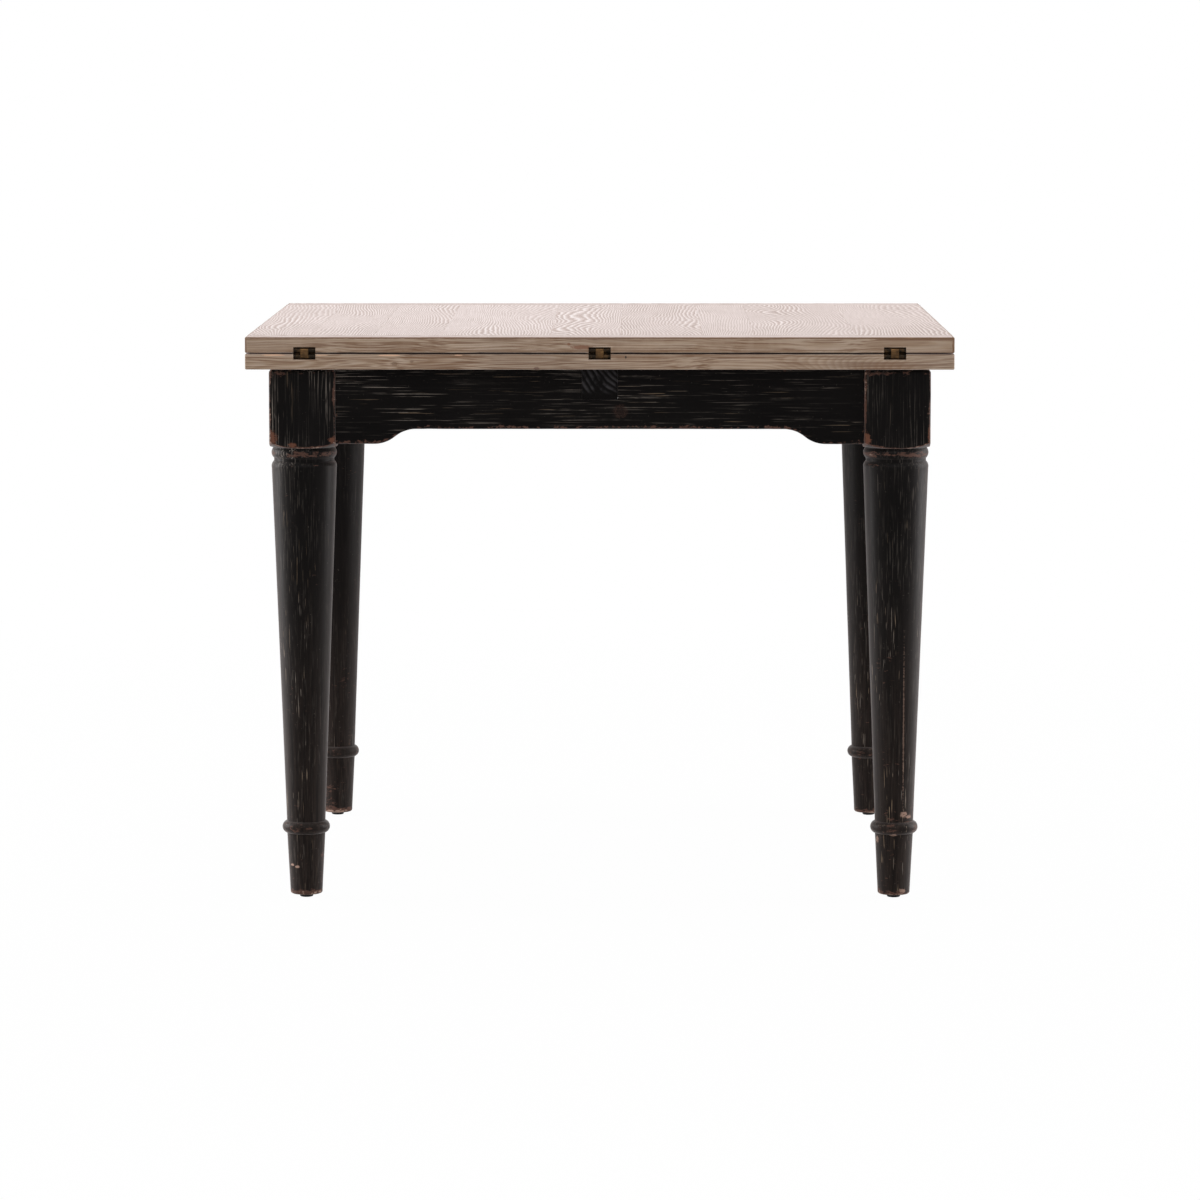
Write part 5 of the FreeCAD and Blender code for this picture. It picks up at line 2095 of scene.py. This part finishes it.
    def set_out(
        self,
        name: str,
        pattern: Piece,
        seats: np.ndarray,
        ways: np.ndarray,
        material: Material,
        body: str,
        slot: str,
        node: str,
        most_turn: float = TAU,
    ) -> None:
        """Sets a pattern out and hands the result to the frame.

        Args:
            name: The piece's name.
            pattern: What is set out, which is then gone.
            seats: Where.
            ways: Which way each one's head points.
            material: The piece's material.
            body: The CAD body that it rides on.
            slot: The record's material slot.
            node: The CAD node that it stands for.
            most_turn: How far each may be turned about its own axis.
        """
        tree = bpy.data.node_groups.get("Set out") or self.tree()
        piece = new_piece(name, seats)
        aim = piece.data.attributes.new("aim", "FLOAT_VECTOR", "POINT")
        aim.data.foreach_set("vector", np.asarray(ways, np.float32).ravel())
        values = {"Pattern": pattern, "Most Turn": most_turn, "Seed": 7 + len(name), "Finish": material}
        run_tree(piece, tree, values, sharp=38.0)
        bpy.data.objects.remove(pattern)
        hang(piece, body, slot, node)

    def build(self, palette: Palette) -> None:
        """Makes every fastener and glide.

        Args:
            palette: The materials.
        """
        sunk = ScrewSize(7.0, 1.75, 3.5, True)
        screws = {
            "brace_screws": (ScrewSize(8.6, 3.2, 4.5, False), palette.zinc, "base", "zinc_steel"),
            "rail_angle_screws": (ScrewSize(6.8, 2.2, 3.5, False), palette.zinc, "base", "zinc_steel"),
            "beam_screws": (ScrewSize(9.6, 3.4, 5.0, False), palette.zinc, "lower_leaf", "zinc_steel"),
            "lower_hinge_screws": (sunk, palette.browned, "lower_leaf", "dark_steel"),
            "upper_hinge_screws": (sunk, palette.browned, "upper_leaf", "dark_steel"),
        }
        for node, (size, material, body, slot) in screws.items():
            seats, ways, length = self.aims(separate_solids(node), size)
            pattern = self.screw(size, length)
            self.set_out(f"slotted_{node}", pattern, seats, ways, material, body, slot, node)
        bolts = separate_solids("leg_bolts")
        longest = max(np.linalg.norm(s.max(0) - s.min(0)) for s in bolts)
        patterns = {
            "leg_bolts": self.bolt_end(longest - self.bolt),
            "leg_washers": self.ring(self.washer, self.bolt + 0.4, self.washer_tall, False),
            "leg_nuts": self.ring(self.nut_flats, self.bolt - 0.8, self.nut_tall, True),
        }
        for node, pattern in patterns.items():
            solids = separate_solids(node)
            seats = np.array([(s.min(0) + s.max(0)) / 2 for s in solids])
            ways = np.array([[-np.sign(s[0]), -np.sign(s[1]), 0.0] for s in seats]) / math.sqrt(2)
            self.set_out(f"turned_{node}", pattern, seats, ways, palette.zinc, "base", "zinc_steel", node)
        feet = np.array([[*(s.min(0) + s.max(0))[:2] / 2, 0.0] for s in separate_solids("floor_glides")])
        up = np.tile([0.0, 0.0, 1.0], (len(feet), 1))
        self.set_out(
            "domed_floor_glides",
            self.glide_disc(),
            feet,
            up,
            palette.glides,
            "base",
            "glide_plastic",
            "floor_glides",
        )


# Studio


@dataclass
class Studio:
    """A white floor, soft lamps, and the camera at the photograph's angle."""

    floor_size: float = 40.0
    ambient: float = 0.385
    ceiling_power: float = 80.0
    left_power: float = 96.0
    right_power: float = 90.0
    front_power: float = 55.0
    floor_lift: float = 0.98
    camera_place: Triple = (0.0452, -8.1783, 1.2163)
    camera_pitch: float = 5.87
    camera_yaw: float = 0.27
    sensor: float = 36.0
    lens: float = 165.38
    clip_end: float = 100.0
    shift: Pair = (-0.00507, 0.00325)

    @staticmethod
    def seen(w: Wiring) -> Socket:
        """Tells sight from light.

        Args:
            w: The wiring of the shader that asks.

        Returns:
            1 for rays that see a thing directly, mirrored or through glass, and 0 for light.
        """
        rays = w.add("ShaderNodeLightPath").outputs
        sight = w.math("MAXIMUM", rays["Is Camera Ray"], rays["Is Glossy Ray"])
        return w.math("MAXIMUM", sight, rays["Is Transmission Ray"])

    def build_world(self) -> None:
        """Sets the light from all round, and the white behind everything."""
        world = bpy.data.worlds.new("studio")
        world.use_nodes = True
        bpy.context.scene.world = world
        w = Wiring(world.node_tree)
        world.node_tree.nodes.clear()
        light = w.add("ShaderNodeBackground", {0: (1.0, 0.985, 0.965, 1), 1: self.ambient})
        white = w.add("ShaderNodeBackground", {0: (1, 1, 1, 1), 1: 1.0})
        mixed = w.add("ShaderNodeMixShader", {0: self.seen(w), 1: light.outputs[0], 2: white.outputs[0]})
        out = w.add("ShaderNodeOutputWorld")
        w.feed(out.inputs[0], mixed.outputs[0])

    def build_floor(self) -> None:
        """Lays the floor, white to the eye but with the object's soft shadow."""
        half = self.floor_size / 2 / MM
        corners = [[-half, -half, 0], [half, -half, 0], [half, half, 0], [-half, half, 0]]
        material = bpy.data.materials.new("studio_floor")
        material.use_nodes = True
        w = Wiring(material.node_tree)
        nodes = material.node_tree.nodes
        surface = nodes["Principled BSDF"]
        surface.inputs["Base Color"].default_value = (0.6, 0.6, 0.6, 1)
        surface.inputs["Roughness"].default_value = 0.9
        glow = w.add("ShaderNodeEmission", {0: (1, 1, 1, 1), 1: 1.0})
        away = w.vector("LENGTH", w.add("ShaderNodeTexCoord").outputs["Object"])
        sight = w.add("ShaderNodeLightPath").outputs["Is Camera Ray"]
        share = w.times(sight, w.ramp(away, 1.0, 3.5, self.floor_lift, 1.0))
        mixed = w.add("ShaderNodeMixShader", {0: share, 1: surface.outputs[0], 2: glow.outputs[0]})
        w.feed(nodes["Material Output"].inputs[0], mixed.outputs[0])
        floor = new_piece("studio_floor", corners, [[0, 1, 2, 3]], material=material)

    @staticmethod
    def lamp(name: str, place: Triple, aim: Triple, size: Pair, power: float) -> None:
        """Hangs a soft rectangular lamp.

        Args:
            name: Its name.
            place: Where it hangs, in metres.
            aim: What it points at.
            size: Its width and height.
            power: Its power in watts.
        """
        data = bpy.data.lights.new(name, "AREA")
        data.shape = "RECTANGLE"
        data.size, data.size_y = size
        data.energy = power
        lamp = new_object(name, data)
        lamp.location = place
        lamp.rotation_euler = (Vector(aim) - Vector(place)).to_track_quat("-Z", "Y").to_euler()
        lamp.visible_camera = False

    def build_camera(self) -> None:
        """Sets the camera."""
        data = bpy.data.cameras.new("camera")
        data.sensor_width = self.sensor
        data.lens = self.lens
        data.shift_x, data.shift_y = self.shift
        data.clip_end = self.clip_end
        camera = new_object("camera", data)
        camera.location = self.camera_place
        camera.rotation_euler = (math.radians(90 - self.camera_pitch), 0.0, math.radians(self.camera_yaw))
        bpy.context.scene.camera = camera

    def build(self) -> None:
        """Sets up the whole studio."""
        bpy.context.scene.view_settings.view_transform = "Standard"
        self.build_world()
        self.build_floor()
        self.lamp("ceiling", (0.0, 0.4, 3.6), (0.0, 0.0, 0.5), (4.2, 3.6), self.ceiling_power)
        self.lamp("left_panel", (-3.2, 0.3, 1.2), (0.0, 0.0, 0.6), (1.6, 2.2), self.left_power)
        self.lamp("right_panel", (3.2, 0.3, 1.2), (0.0, 0.0, 0.6), (1.6, 2.2), self.right_power)
        self.lamp("front_panel", (0.0, -5.5, 3.4), (0.0, 0.0, 0.5), (5.0, 2.5), self.front_power)
        self.build_camera()


def main() -> None:
    """Builds the table's pieces in order, then the studio."""
    logging.basicConfig(level=logging.INFO, format="%(name)s: %(message)s")
    palette = Palette()
    TurnedLegs().build(palette)
    Aprons().build(palette)
    lower_tones = (0.2, 0.0, 0.35, 0.1, 0.3, 0.05, 0.25, 0.0, 0.4)
    upper_tones = (0.05, 0.1, 0.0, 0.0, 0.05, 0.42, 0.25, 0.32, 0.45)
    Leaf("lower", 776.8, -1, (118, 92, 136, 96, 112, 88, 140, 98, 110), lower_tones).build(palette)
    Leaf("upper", 778.0, 1, (89, 89, 94, 154, 99, 114, 74, 143, 134), upper_tones).build(palette)
    Hinges().build(palette)
    Slide().build(palette)
    CornerBraces().build(palette)
    Fasteners().build(palette)
    Studio().build()


if __name__ == "__main__":
    main()
